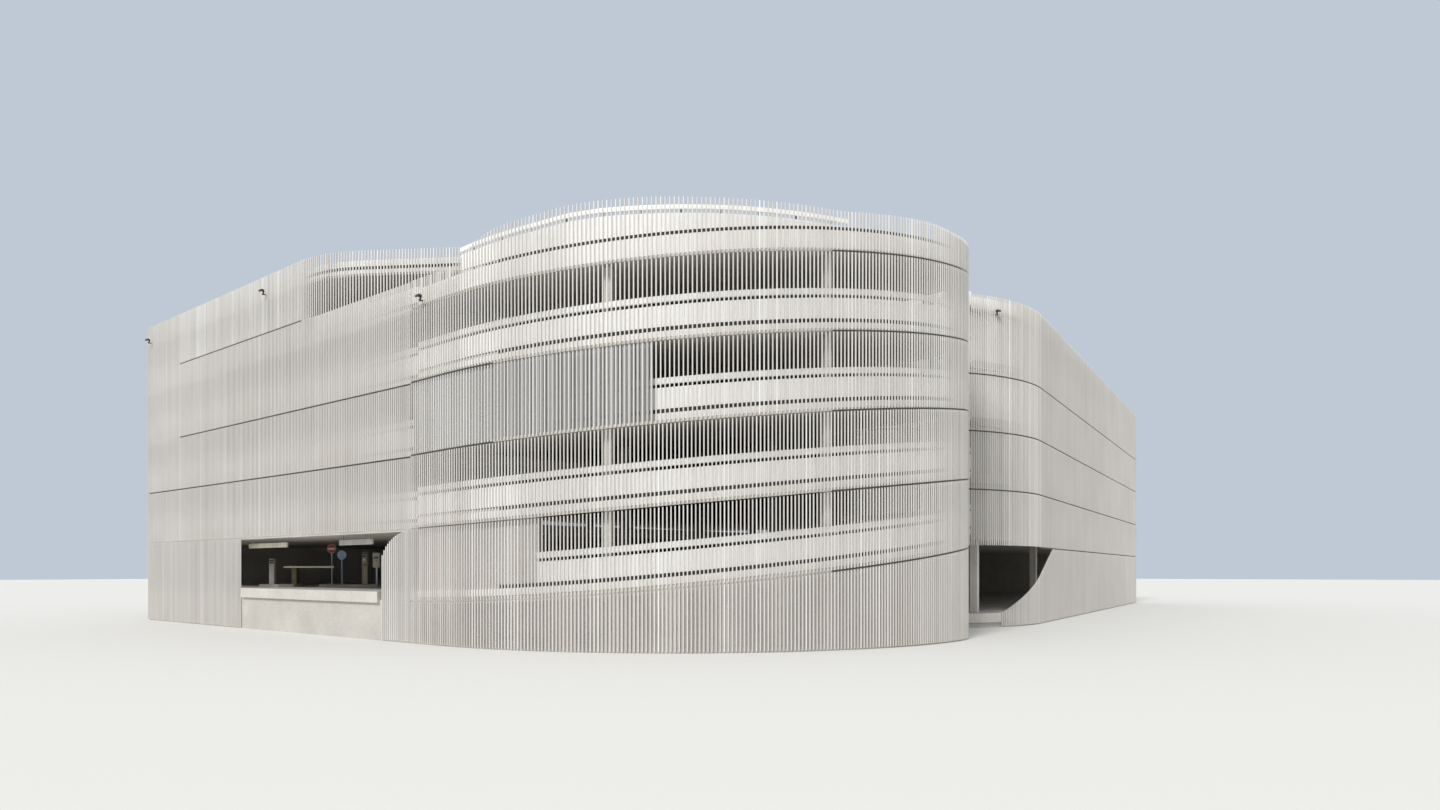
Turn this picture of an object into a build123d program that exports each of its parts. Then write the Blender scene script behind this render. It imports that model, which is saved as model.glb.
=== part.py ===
from build123d import *
import os
from functools import partial
from math import asin, atan2, cos, degrees, hypot, radians, sin, sqrt, tan

# Multi-storey car park at 1:2, so each size below is half of the real one, in millimetres.
# Seen from above, X runs along the back wall, Y along the right wall and Z up. The origin is
# on the ground under the middle of the plan. The rounded front corner holds sloped ramp decks
# that climb one storey from the left of the front to the right wall.

# Plan
width = 24000
depth = 35000
front_skew = 10.3
drum_radius = 7300
drum_end_radius = 2250
drum_end_angle = -4
notch_depth = 3450
corner_radius = 4800
corner_centre_back = 7205

# Storeys
storey = 1500
deck_thickness = 240
ground_floor_level = 1050
lower_floor_level = 375
deck_levels = 4
ledge_thickness = 60

# Sloped decks in the drum: foot and head of the ramp line from the drum's centre
ramp_foot_left = 2375
ramp_head_right = 700
ramp_head_back = 4205
ramp_soffit_at_centre = 1702
ramp_rise_x = 0.040
ramp_rise_y = 0.106
ramp_count = 5

# Set-back of the roof deck behind the front wall, from the ramp's foot
set_back_start_left = 4650
set_back_radius = 3000
set_back_angle = 24

# Curtain of upright fins and what stands behind it
fin_width = 60
fin_depth = 75
fin_pitch = 750
hidden_fin_pitch = 1500
curtain_gap = 150
panel_facet = 1000
fin_foot = 30
joint_gap = 36

# Heights of the joint lines and tops of the curtain
front_joints = [2340, 3840, 5340]
crown_foot = 7455
front_top = 8880
right_joints = [2152, 3630, 5160, 6652]
right_top = 8730
drum_top_line = [
    (-180, 7455), (-95, 7455), (-84, 8085), (-76, 8220), (-34, 8235), (-15, 8540), (14, 8710), (180, 8730),
]
screen_foot = 7170

# Parapets
parapet_thickness = 60
parapet_height = 420
panel_seam = 25
rail_gap = 60
rail_height = 120
rail_post = 60
rail_post_pitch = 6000
parapet_joint = 20
drum_parapet_top = 8180
drum_rail_height = 80
drum_rail_gap = 70
drum_upstand = 200
drum_parapet_start_left = 636
drum_parapet_start_top = 7295
drum_parapet_slope = 0.4
roof_upstand = 170
strip_parapet_top = 7400

# Foundation, and the walls that stand on the ground floors
foundation_thickness = 225
wall_thickness = 150
lower_floor_left = 650
lower_floor_back = 2500

# Wall behind the fins from the entrance to a bearing round the drum
front_wall_end = -81.2

# Screen between the fins and the parapet of one ramp storey, up to a bearing round the drum
screen_storey = 2
screen_end = -62.3
screen_inset = 120
screen_thickness = 20

# Openings in the curtain at street level
entrance_width = 6743
entrance_rounding_width = 1147
entrance_rounding_height = 780
exit_sill_front = 2250
exit_jamb_back = 1650

# Columns: rows from the outer walls, the two inner rows and two single ones from the drum's centre
column_side = 200
column_inset = 800
column_right_inset = 1400
column_front_inset = 4700
column_pitch = 7200
column_rows = 4
inner_columns_left = [7300, 1000]
ramp_line_columns = [(-500, -2000), (1300, 2200)]
drum_column_bearings = [-70, -35.1]
drum_column_side = 150
drum_column_inset = 420

# Equipment inside the entrance, set square to the lane, each place from the barrier's cabinet
lane_turn = 30.3
cabinet_left = 285
cabinet_back = 1781
cabinet_size = (140, 150, 515)
island_height = 75
island_chamfer = 300
entry_island = (-255, -169)
entry_island_size = (950, 1500)
exit_island = (1600, 932)
exit_island_size = (2000, 1500)
ticket_column = (-510, -338)
ticket_column_size = (150, 130, 700)
boom_height = 1600
boom_length = 1110
boom_tail = 255
knuckle_reach = 530
boom_section = (20, 44)
pivot_radius = 15
pivot_clearance = 0.3
side_clearance = 8
red_sign = (740, 627)
blue_sign = (995, 772)
red_sign_height = 2110
blue_sign_height = 1935
sign_radius = 128
sign_thickness = 12
red_pole_radius = 12
blue_pole_radius = 22
pay_station = (1725, 967)
pay_station_size = (165, 160, 900)
exit_reader = (1990, 1127)
exit_reader_size = (190, 120, 410)
exit_reader_top = 1995
reader_post = 50

# Height bars hung in the entrance, each from one distance to another right of its left end
height_bar_inset = 375
height_bars = [(-225, 1915), (4481, 5942)]
height_bar_foot = 2085
height_bar_size = (30, 125)
hanger_side = 20

# Floodlights on the curtain, below its top: beside the left end, the set-back and the ramp's foot,
# and at a bearing round the corner
side_lamp = (680, 430)
set_back_lamp = (-2135, 400)
ramp_lamp = (605, 1845)
corner_lamp_bearing = -32
corner_lamp_drop = 390
lamp_size = (90, 110, 70)
lamp_arm = 60

# Things that follow from the plan
east = width / 2
north = depth / 2
drum_centre = (east - drum_radius, -north + drum_radius)
ramp_foot_x = drum_centre[0] - ramp_foot_left
ramp_head = (drum_centre[0] + ramp_head_right, drum_centre[1] + ramp_head_back)
set_back_start_x = ramp_foot_x - set_back_start_left
lower_floor_west = drum_centre[0] - lower_floor_left
lower_floor_south = drum_centre[1] + lower_floor_back
entrance_east = ramp_foot_x - entrance_rounding_width
entrance_west = entrance_east - entrance_width
end_reach = drum_radius - drum_end_radius
end_centre = (
    drum_centre[0] + end_reach * cos(radians(drum_end_angle)),
    drum_centre[1] + end_reach * sin(radians(drum_end_angle)),
)
corner_centre = (east - corner_radius, drum_centre[1] + corner_centre_back)
exit_sill_y = corner_centre[1] - exit_sill_front
exit_jamb_top_y = corner_centre[1] + exit_jamb_back
notch_x = east - notch_depth
front_normal = -90 - front_skew
slab_inset = fin_depth + curtain_gap
model_height = front_top + storey
beyond = width + depth


def front_wall_y(x, inset=0):
    """Y of the skewed front wall line at x, moved inwards by inset."""
    normal = (cos(radians(front_normal)), sin(radians(front_normal)))
    reach = drum_radius - inset - normal[0] * (x - drum_centre[0])
    return drum_centre[1] + reach / normal[1]


def arc_points(centre, radius, start, end):
    """Corners of equal straight panels round an arc, from one bearing to the other."""
    panels = max(2, round(radius * radians(abs(end - start)) / panel_facet))
    bearings = [radians(start + (end - start) * i / panels) for i in range(panels + 1)]
    return [(centre[0] + radius * cos(b), centre[1] + radius * sin(b)) for b in bearings]


def inset_polygon(points, distance):
    """The closed polygon with every side moved inwards by the same distance."""
    moved = []
    for i, (x, y) in enumerate(points):
        before = points[i - 1]
        after = points[(i + 1) % len(points)]
        a = hypot(x - before[0], y - before[1])
        b = hypot(after[0] - x, after[1] - y)
        na = ((before[1] - y) / a, (x - before[0]) / a)
        nb = ((y - after[1]) / b, (after[0] - x) / b)
        share = distance / (1 + na[0] * nb[0] + na[1] * nb[1])
        moved.append((x + share * (na[0] + nb[0]), y + share * (na[1] + nb[1])))
    return moved


# Outer face of the curtain, anticlockwise from the far left corner
far_left = (-east, front_wall_y(-east))
ramp_foot = (ramp_foot_x, front_wall_y(ramp_foot_x))
drum_arc = arc_points(drum_centre, drum_radius, front_normal, drum_end_angle)
drum_end = arc_points(end_centre, drum_end_radius, drum_end_angle, 90)
notch_bearing = -degrees(asin(sqrt(1 - ((notch_x - corner_centre[0]) / corner_radius) ** 2)))
corner_arc = arc_points(corner_centre, corner_radius, notch_bearing, 0)
notch_floor = (notch_x, drum_end[-1][1])
facade = [far_left, ramp_foot] + drum_arc + drum_end[1:] + [notch_floor] + corner_arc
facade = facade + [(east, north), (-east, north)]

first_drum = 2
first_end = first_drum + len(drum_arc) - 1
first_notch = first_end + len(drum_end) - 1
first_corner = first_notch + 2
first_right = first_corner + len(corner_arc) - 1


def ramp_line_x(y):
    """X at y of the straight line that parts the ramp decks from the level ones."""
    run = (ramp_head[0] - ramp_foot[0]) / (ramp_head[1] - ramp_foot[1])
    return ramp_foot[0] + run * (y - ramp_foot[1])


def set_back_points():
    """Edge of the roof deck: off the front wall in an arc, straight on, up the ramp line."""
    start = (set_back_start_x, front_wall_y(set_back_start_x))
    centre = (
        start[0] - set_back_radius * cos(radians(front_normal)),
        start[1] - set_back_radius * sin(radians(front_normal)),
    )
    arc = arc_points(centre, set_back_radius, front_normal, set_back_angle - 90)
    slope = tan(radians(set_back_angle))
    run = (ramp_head[0] - ramp_foot[0]) / (ramp_head[1] - ramp_foot[1])
    across = arc[-1][0] - ramp_line_x(arc[-1][1])
    y = arc[-1][1] - across * slope / (1 - run * slope)
    return arc + [(ramp_line_x(y), y)]


set_back = set_back_points()
roof_edge = [far_left] + set_back + [ramp_head]
corner_reach = sqrt(corner_radius**2 - (ramp_head[1] - corner_centre[1]) ** 2)
landing_end = (corner_centre[0] + corner_reach, ramp_head[1])
roof_outline = roof_edge + [landing_end]
roof_outline += [p for p in corner_arc if p[1] > ramp_head[1] + panel_facet / 2]
roof_outline += [(east, north), (-east, north)]


def plan(points):
    """A flat face from its corners."""
    with BuildSketch() as sketch:
        with BuildLine():
            Polyline(*points, close=True)
        make_face()
    return sketch.sketch


def box_plan(west, south, right, back):
    """A rectangle of the plan from its four limits."""
    return plan([(west, south), (right, south), (right, back), (west, back)])


def ramp_region():
    """All of the plan right of the ramp line and in front of the landing."""
    south = -2 * depth
    return plan([ramp_head, (ramp_line_x(south), south), (beyond, south), (beyond, ramp_head[1])])


def lower_region():
    """The plan of the lower ground floor along the right wall."""
    return box_plan(lower_floor_west, lower_floor_south, beyond, beyond)


def zone(outline, inset, region, mode):
    """An outline moved inwards and kept inside a region, or outside it."""
    with BuildSketch() as sketch:
        add(plan(inset_polygon(outline, inset)))
        add(region, mode=mode)
    return sketch.sketch


def ring(outline, outer, inner, region, mode):
    """The strip between two insets of an outline, kept inside a region or outside it."""
    with BuildSketch() as sketch:
        add(zone(outline, outer, region, mode))
        add(plan(inset_polygon(outline, inner)), mode=Mode.SUBTRACT)
    return sketch.sketch


def level(height):
    """A level plane."""
    return Plane(origin=(0, 0, height), z_dir=(0, 0, 1))


def ramp_plane(number, above=0):
    """The sloped plane of a ramp deck's underside, or one that lies above it."""
    height = ramp_soffit_at_centre + number * storey + above
    return Plane(origin=(*drum_centre, height), z_dir=(-ramp_rise_x, -ramp_rise_y, 1))


def prism(face, low, high):
    """The solid over a plan face between two planes."""
    with BuildPart() as body:
        with BuildSketch():
            add(face)
        extrude(amount=model_height)
        split(bisect_by=high, keep=Keep.BOTTOM)
        split(bisect_by=low, keep=Keep.TOP)
    return body.part


def spots(points, pitch, inset):
    """Places and bearings along a polyline, evenly spaced on each side of it."""
    places = []
    for (x0, y0), (x1, y1) in zip(points, points[1:]):
        length = hypot(x1 - x0, y1 - y0)
        count = max(1, round(length / pitch))
        along = ((x1 - x0) / length, (y1 - y0) / length)
        for i in range(count):
            s = length * (i + 0.5) / count
            x = x0 + along[0] * s - along[1] * inset
            y = y0 + along[1] * s + along[0] * inset
            places.append((x, y, degrees(atan2(along[1], along[0]))))
    return places


def squares(places, side, across):
    """Rectangles at places, turned with the wall."""
    with BuildSketch() as sketch:
        with Locations(*[Location((x, y, 0), (0, 0, turn)) for x, y, turn in places]):
            Rectangle(side, across)
    return sketch.sketch


def run_joint(start, end, reach):
    """Place and bearing of a parapet joint on the run from start to end, at a reach past its start."""
    length = hypot(end[0] - start[0], end[1] - start[1])
    along = ((end[0] - start[0]) / length, (end[1] - start[1]) / length)
    inset = slab_inset + parapet_thickness / 2
    x = start[0] + along[0] * reach - along[1] * inset
    y = start[1] + along[1] * reach + along[0] * inset
    return (x, y, degrees(atan2(along[1], along[0])))


def parted(face, joints):
    """A parapet's plan cut through at its joints."""
    with BuildSketch() as sketch:
        add(face)
        add(squares(joints, parapet_joint, 4 * parapet_thickness), mode=Mode.SUBTRACT)
    return sketch.sketch


def uprights(places, side, across, bottom, top):
    """Square-cut uprights at places, with their sides along the wall."""
    with BuildPart() as body:
        with BuildSketch(Plane.XY.offset(bottom)):
            with Locations(*[Location((x, y, 0), (0, 0, turn)) for x, y, turn in places]):
                Rectangle(side, across)
        extrude(amount=top - bottom)
    return body.part


def curtain(places, bottom, top):
    """Fins of the curtain between two heights."""
    return uprights(places, fin_width, fin_depth, bottom, top)


def between_x(places, low, high):
    """The places whose X lies between two values."""
    return [p for p in places if low < p[0] < high]


def joint_plates(planes):
    """Thin plates that cut the curtain where one tier of fins ends and the next starts."""
    for plane in planes:
        with Locations(plane.location):
            Box(4 * beyond, 4 * beyond, joint_gap, mode=Mode.SUBTRACT)


def save(part, name):
    """Write one named piece."""
    part.label = name
    export_step(part, f"parts/{name}.step")
    return part


os.makedirs("parts", exist_ok=True)
structure = []

# Sloped ramp decks: a slab with a thin ledge at its foot that carries the curtain
ramp_zone = ramp_region()
for number in range(ramp_count):
    with BuildPart() as ramp_deck:
        slab = zone(facade, slab_inset, ramp_zone, Mode.INTERSECT)
        ledge = zone(facade, fin_depth, ramp_zone, Mode.INTERSECT)
        add(prism(slab, ramp_plane(number), ramp_plane(number, deck_thickness)))
        add(prism(ledge, ramp_plane(number), ramp_plane(number, ledge_thickness)))
    structure.append(save(ramp_deck.part, f"ramp_deck_{number}"))

# Level decks
for number in range(1, deck_levels + 1):
    floor = ground_floor_level + number * storey
    with BuildPart() as level_deck:
        slab = zone(facade, slab_inset, ramp_zone, Mode.SUBTRACT)
        ledge = zone(facade, fin_depth, ramp_zone, Mode.SUBTRACT)
        add(prism(slab, level(floor - deck_thickness), level(floor)))
        add(prism(ledge, level(floor - deck_thickness), level(floor - deck_thickness + ledge_thickness)))
    structure.append(save(level_deck.part, f"deck_{number}"))

# Roof deck, set back behind the front wall
roof_floor = ground_floor_level + (deck_levels + 1) * storey
with BuildPart() as roof_deck:
    soffit = roof_floor - deck_thickness
    add(prism(plan(inset_polygon(roof_outline, slab_inset)), level(soffit), level(roof_floor)))
    ledge = plan(inset_polygon(roof_outline, fin_depth))
    add(prism(ledge, level(soffit), level(soffit + ledge_thickness)))
structure.append(save(roof_deck.part, "roof_deck"))

joint_reach = slab_inset + parapet_thickness + parapet_joint / 2
corner_joints = [
    run_joint((east, north), (-east, north), joint_reach),
    run_joint((-east, north), far_left, joint_reach),
    run_joint(far_left, ramp_foot, joint_reach),
]
roof_joints = corner_joints + [
    run_joint(set_back[0], set_back[1], parapet_joint),
    run_joint(set_back[-2], set_back[-1], parapet_joint),
    run_joint(set_back[-1], ramp_head, joint_reach),
    run_joint((east, corner_centre[1]), (east, north), parapet_joint),
]
with BuildPart() as roof_kerb:
    with BuildSketch() as upstand_plan:
        add(plan(inset_polygon(roof_outline, slab_inset)))
        add(plan(inset_polygon(roof_outline, slab_inset + parapet_thickness)), mode=Mode.SUBTRACT)
        landing_length = landing_end[0] - ramp_head[0]
        with Locations(ramp_head):
            Rectangle(landing_length, 2 * storey, align=(Align.MIN, Align.CENTER), mode=Mode.SUBTRACT)
    kerb_face = parted(upstand_plan.sketch, roof_joints)
    add(prism(kerb_face, level(roof_floor), level(roof_floor + roof_upstand)))
save(roof_kerb.part, "roof_upstand")

# Ground floors, with sills out to the curtain line at the two openings
with BuildPart() as ground_deck:
    soffit = ground_floor_level - deck_thickness
    with BuildSketch() as ground_plan:
        add(zone(facade, slab_inset, ramp_zone, Mode.SUBTRACT))
        add(lower_region(), mode=Mode.SUBTRACT)
    add(prism(ground_plan.sketch, level(soffit), level(ground_floor_level)))
    with BuildSketch() as ledge_plan:
        add(zone(facade, fin_depth, ramp_zone, Mode.SUBTRACT))
        add(lower_region(), mode=Mode.SUBTRACT)
    add(prism(ledge_plan.sketch, level(soffit), level(soffit + ledge_thickness)))
    with BuildSketch() as sill_plan:
        add(plan(facade))
        add(plan(inset_polygon(facade, slab_inset)), mode=Mode.SUBTRACT)
        sill_length = entrance_east - entrance_west - 2 * fin_width
        with Locations(((entrance_east + entrance_west) / 2, far_left[1])):
            Rectangle(sill_length, depth / 2, mode=Mode.INTERSECT)
    add(prism(sill_plan.sketch, level(soffit), level(ground_floor_level)))
structure.append(save(ground_deck.part, "ground_deck"))

with BuildPart() as lower_ground_deck:
    soffit = lower_floor_level - deck_thickness
    lower_slab = zone(facade, slab_inset, lower_region(), Mode.INTERSECT)
    add(prism(lower_slab, level(soffit), level(lower_floor_level)))
    with BuildSketch() as sill_plan:
        add(plan(facade))
        add(plan(inset_polygon(facade, slab_inset)), mode=Mode.SUBTRACT)
        add(box_plan(notch_x, lower_floor_south, beyond, exit_sill_y), mode=Mode.INTERSECT)
    add(prism(sill_plan.sketch, level(soffit), level(lower_floor_level)))
structure.append(save(lower_ground_deck.part, "lower_ground_deck"))


# Foundation walls, which the feet of the fins stand against
def left_of_ramp_line(west, back):
    """The plan left of the ramp line, between a west limit and a back limit."""
    return plan([(west, -depth), (ramp_line_x(-depth), -depth), (ramp_line_x(back), back), (west, back)])


def wall_part(outer, thickness, region):
    """The part in a region of a wall that follows the facade at an inset."""
    return ring(facade, outer, outer + thickness, region, Mode.INTERSECT)


foundation_reach = fin_depth + foundation_thickness
side_limit = -east + foundation_reach
back_limit = north - foundation_reach
ground_top = level(ground_floor_level - deck_thickness)
lower_top = level(lower_floor_level - deck_thickness)
right_of_ramp = plan(
    [
        (ramp_line_x(-depth), -depth),
        (beyond, -depth),
        (beyond, lower_floor_south),
        (ramp_line_x(lower_floor_south), lower_floor_south),
    ]
)
foundations = [
    ("foundation_side", box_plan(-beyond, -beyond, side_limit, back_limit), ground_top),
    ("foundation_front", left_of_ramp_line(side_limit, 0), ground_top),
    ("foundation_back", box_plan(-beyond, back_limit, lower_floor_west, beyond), ground_top),
    ("foundation_right", box_plan(lower_floor_west, lower_floor_south, beyond, beyond), lower_top),
    ("foundation_drum", right_of_ramp, ramp_plane(0)),
]
for name, region, top in foundations:
    foundation = prism(wall_part(fin_depth, foundation_thickness, region), level(0), top)
    save(foundation, name)

# Retaining wall between the two ground floors
with BuildPart() as retaining_wall:
    retaining_west = lower_floor_west - wall_thickness
    retaining_south = lower_floor_south - wall_thickness
    retaining_end = ramp_line_x(retaining_south)
    with BuildSketch() as wall_plan:
        add(box_plan(retaining_west, retaining_south, lower_floor_west, back_limit))
        add(box_plan(retaining_west, retaining_south, retaining_end, lower_floor_south))
    add(prism(wall_plan.sketch, level(0), ground_top))
save(retaining_wall.part, "retaining_wall")


# Parapets: a panel on the deck's edge, a thin gap with posts, and a rail
def parapet(ring_face, post_face, plane_at, floor):
    """Panel, posts and rail over a ring on a floor; plane_at gives the deck's plane at a height."""
    panel_top = floor + parapet_height
    rail_foot = panel_top + rail_gap
    with BuildPart() as body:
        add(prism(ring_face, plane_at(floor + panel_seam), plane_at(panel_top)))
        add(prism(post_face, plane_at(floor), plane_at(rail_foot)))
        add(prism(ring_face, plane_at(rail_foot), plane_at(rail_foot + rail_height)))
    return body.part


rail_line = slab_inset + parapet_thickness / 2
level_route = [(east, corner_centre[1]), (east, north), (-east, north), far_left, ramp_foot]
corner_zone = box_plan(0, ramp_head[1], beyond, corner_centre[1])
with BuildSketch() as level_ring_plan:
    add(ring(facade, slab_inset, slab_inset + parapet_thickness, ramp_zone, Mode.SUBTRACT))
    add(corner_zone, mode=Mode.SUBTRACT)
level_ring = parted(level_ring_plan.sketch, corner_joints)
level_posts = squares(spots(level_route, rail_post_pitch, rail_line), rail_post, parapet_thickness)
for number in range(1, deck_levels + 1):
    floor = ground_floor_level + number * storey
    with BuildPart() as deck_parapet:
        add(parapet(level_ring, level_posts, level, floor))
        if number == deck_levels:
            with Locations((0, -north, strip_parapet_top)):
                Box(2 * (ramp_foot_x + abs(set_back_start_x)), depth / 2, storey,
                    align=(Align.CENTER, Align.CENTER, Align.MIN), mode=Mode.SUBTRACT)
    save(deck_parapet.part, f"deck_parapet_{number}")

ramp_ring = ring(facade, slab_inset, slab_inset + parapet_thickness, ramp_zone, Mode.INTERSECT)
drum_route = drum_arc + drum_end[1:]
ramp_posts = squares(spots(drum_route, rail_post_pitch, rail_line)[1::4], rail_post, parapet_thickness)


def left_of_bearing(face, bearing, mode):
    """The part of a plan face left of a bearing round the drum, or the rest of it."""
    end = (
        drum_centre[0] + 2 * drum_radius * cos(radians(bearing)),
        drum_centre[1] + 2 * drum_radius * sin(radians(bearing)),
    )
    with BuildSketch() as sketch:
        add(face)
        add(plan([drum_centre, end, (-beyond, end[1]), (-beyond, drum_centre[1])]), mode=mode)
    return sketch.sketch


# Top parapet of the drum: level rail, sloped at its left end and never lower than the upstand
top_floor = ramp_plane(ramp_count - 1, deck_thickness)
rail_bottom = drum_parapet_top - drum_rail_height
slope_start = (drum_centre[0] - drum_parapet_start_left, 0, drum_parapet_start_top)
left_slope = Plane(origin=slope_start, z_dir=(-drum_parapet_slope, 0, 1))
with BuildPart() as top_parapet:
    add(prism(ramp_ring, level(0), level(rail_bottom - drum_rail_gap)))
    add(prism(ramp_ring, level(rail_bottom), level(drum_parapet_top)))
    add(prism(ramp_posts, level(0), level(rail_bottom)))
    split(bisect_by=left_slope, keep=Keep.BOTTOM)
    add(prism(ramp_ring, level(0), ramp_plane(ramp_count - 1, deck_thickness + drum_upstand)))
    split(bisect_by=top_floor, keep=Keep.TOP)

ramp_bodies = [top_parapet.part]
for number in range(ramp_count - 1):
    ring_face, post_face = ramp_ring, ramp_posts
    if number == 0:
        ring_face = left_of_bearing(ramp_ring, front_wall_end, Mode.SUBTRACT)
        post_face = left_of_bearing(ramp_posts, front_wall_end, Mode.SUBTRACT)
    ramp_bodies.append(parapet(ring_face, post_face, partial(ramp_plane, number), deck_thickness))
with BuildPart() as ramp_parapets:
    for body in ramp_bodies:
        add(body)
save(ramp_parapets.part, "ramp_parapets")

# Screen behind the fins of one ramp storey
with BuildPart() as slat_screen:
    screen_ring = ring(facade, screen_inset, screen_inset + screen_thickness, ramp_zone, Mode.INTERSECT)
    screen_face = left_of_bearing(screen_ring, screen_end, Mode.INTERSECT)
    add(prism(screen_face, ramp_plane(screen_storey, ledge_thickness), ramp_plane(screen_storey + 1)))
save(slat_screen.part, "slat_screen")

# Walls behind the fins: round the right corner, and at street level beside the ramp's foot,
# on the left side and at the back
with BuildPart() as corner_wall:
    corner_face = wall_part(slab_inset, wall_thickness, corner_zone)
    for number in range(1, deck_levels + 1):
        floor = ground_floor_level + number * storey
        add(prism(corner_face, level(floor), level(floor + storey - deck_thickness)))
save(corner_wall.part, "corner_wall")

with BuildPart() as front_wall:
    ramp_wall = wall_part(slab_inset, wall_thickness, ramp_zone)
    wall_face = left_of_bearing(ramp_wall, front_wall_end, Mode.INTERSECT)
    add(prism(wall_face, ramp_plane(0, deck_thickness), ramp_plane(1)))
save(front_wall.part, "front_wall")

first_soffit = level(ground_floor_level + storey - deck_thickness)
wall_side = -east + slab_inset + wall_thickness
wall_back = north - slab_inset - wall_thickness
side_face = wall_part(slab_inset, wall_thickness, box_plan(-beyond, -beyond, wall_side, wall_back))
save(prism(side_face, level(ground_floor_level), first_soffit), "side_wall")
with BuildPart() as back_wall:
    back_face = wall_part(slab_inset, wall_thickness, box_plan(-beyond, wall_back, lower_floor_west, beyond))
    add(prism(back_face, level(ground_floor_level), first_soffit))
    lower_face = wall_part(slab_inset, wall_thickness, box_plan(lower_floor_west, wall_back, beyond, beyond))
    add(prism(lower_face, level(lower_floor_level), first_soffit))
save(back_wall.part, "back_wall")

# Columns, cut through by every deck
column_reach = drum_radius - drum_column_inset
drum_places = [
    (drum_centre[0] + column_reach * cos(radians(b)), drum_centre[1] + column_reach * sin(radians(b)), b + 90)
    for b in drum_column_bearings
]
ramp_places = [(drum_centre[0] + x, drum_centre[1] + y, 0) for x, y in ramp_line_columns]
column_xs = [-east + column_inset, east - column_right_inset]
column_xs += [drum_centre[0] - x for x in inner_columns_left]
column_ys = [north - column_inset - column_pitch * row for row in range(column_rows)]
column_ys.append(-north + column_front_inset)
level_spots = [
    (x, y, 0) for x in column_xs for y in column_ys if not (x > ramp_line_x(y) and y < ramp_head[1])
]
with BuildPart() as columns:
    add(prism(squares(level_spots, column_side, column_side), level(0), level(roof_floor - deck_thickness)))
    add(prism(squares(ramp_places, column_side, column_side), level(0), ramp_plane(ramp_count - 1)))
    add(prism(squares(drum_places, drum_column_side, drum_column_side), level(0), ramp_plane(ramp_count - 1)))
    for body in structure:
        add(body, mode=Mode.SUBTRACT)
save(columns.part, "columns")


# Curtain of fins, one tier above the other
def drum_height(bearing):
    """Top of the curtain at a bearing round the drum, from the line of tops."""
    for (b0, h0), (b1, h1) in zip(drum_top_line, drum_top_line[1:]):
        if b0 <= bearing <= b1:
            return h0 + (h1 - h0) * (bearing - b0) / (b1 - b0)


level_joints = [level(height) for height in front_joints + [crown_foot]]
right_planes = [level(height) for height in right_joints]
ramp_joints = [ramp_plane(number) for number in range(ramp_count)]
fin_line = fin_depth / 2
front_spots = spots([far_left, ramp_foot], fin_pitch, fin_line)
half_joint = joint_gap / 2

with BuildPart() as front_fins:
    add(curtain(front_spots, front_joints[0] + half_joint, crown_foot - half_joint))
    joint_plates(level_joints)
save(front_fins.part, "front_fins")

with BuildPart() as front_crown_fins:
    add(curtain(between_x(front_spots, -beyond, set_back_start_x), crown_foot + half_joint, front_top))
save(front_crown_fins.part, "front_crown_fins")

with BuildPart() as front_lower_left_fins:
    add(curtain(between_x(front_spots, -beyond, entrance_west), fin_foot, front_joints[0] - half_joint))
save(front_lower_left_fins.part, "front_lower_left_fins")

with BuildPart() as front_lower_right_fins:
    add(curtain(between_x(front_spots, entrance_east, beyond), fin_foot, front_joints[0] - half_joint))
    corner_x = entrance_east + entrance_rounding_width
    corner_z = front_joints[0] - half_joint - entrance_rounding_height
    with BuildSketch(Plane.XZ.offset(-depth)):
        with Locations((entrance_east, corner_z)):
            Rectangle(2 * entrance_rounding_width, 2 * storey, align=(Align.MIN, Align.MIN))
        with Locations((corner_x, corner_z)):
            Rectangle(2 * beyond, 4 * storey, align=(Align.MIN, Align.MIN), mode=Mode.SUBTRACT)
            Ellipse(entrance_rounding_width, entrance_rounding_height, mode=Mode.SUBTRACT)
    extrude(amount=2 * depth, both=True, mode=Mode.SUBTRACT)
save(front_lower_right_fins.part, "front_lower_right_fins")

curtain_spots = spots(facade[1:first_end + 1], fin_pitch, fin_line)
end_spots = spots(facade[first_end:first_notch + 1], fin_pitch, fin_line)
notch_spots = spots(facade[first_notch:first_corner + 1], fin_pitch, fin_line)


def drum_curtain(places):
    """Fins of the drum with their own tops, cut at the sloped joint lines."""
    with BuildPart() as body:
        for x, y, turn in places:
            bearing = degrees(atan2(y - drum_centre[1], x - drum_centre[0]))
            add(curtain([(x, y, turn)], fin_foot, drum_height(bearing)))
        joint_plates(ramp_joints)
    return body.part


drum_groups = 4
share = len(curtain_spots) / drum_groups
for group in range(drum_groups):
    places = curtain_spots[round(group * share):round((group + 1) * share)]
    save(drum_curtain(places), f"drum_fins_{group + 1}")
middle = len(end_spots) // 2
save(drum_curtain(end_spots[:middle]), "drum_end_fins_1")
save(drum_curtain(end_spots[middle:]), "drum_end_fins_2")
save(drum_curtain(notch_spots), "notch_fins")

corner_spots = spots(corner_arc, fin_pitch, fin_line)
corner_groups = 3
share = len(corner_spots) / corner_groups
for group in range(corner_groups):
    with BuildPart() as corner_fins:
        places = corner_spots[round(group * share):round((group + 1) * share)]
        add(curtain(places, right_joints[0] + half_joint, right_top))
        joint_plates(right_planes)
    save(corner_fins.part, f"corner_fins_{group + 1}")

right_spots = spots([(east, corner_centre[1]), (east, north)], fin_pitch, fin_line)
with BuildPart() as right_fins:
    add(curtain(right_spots, right_joints[0] + half_joint, right_top))
    joint_plates(right_planes)
save(right_fins.part, "right_fins")

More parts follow.
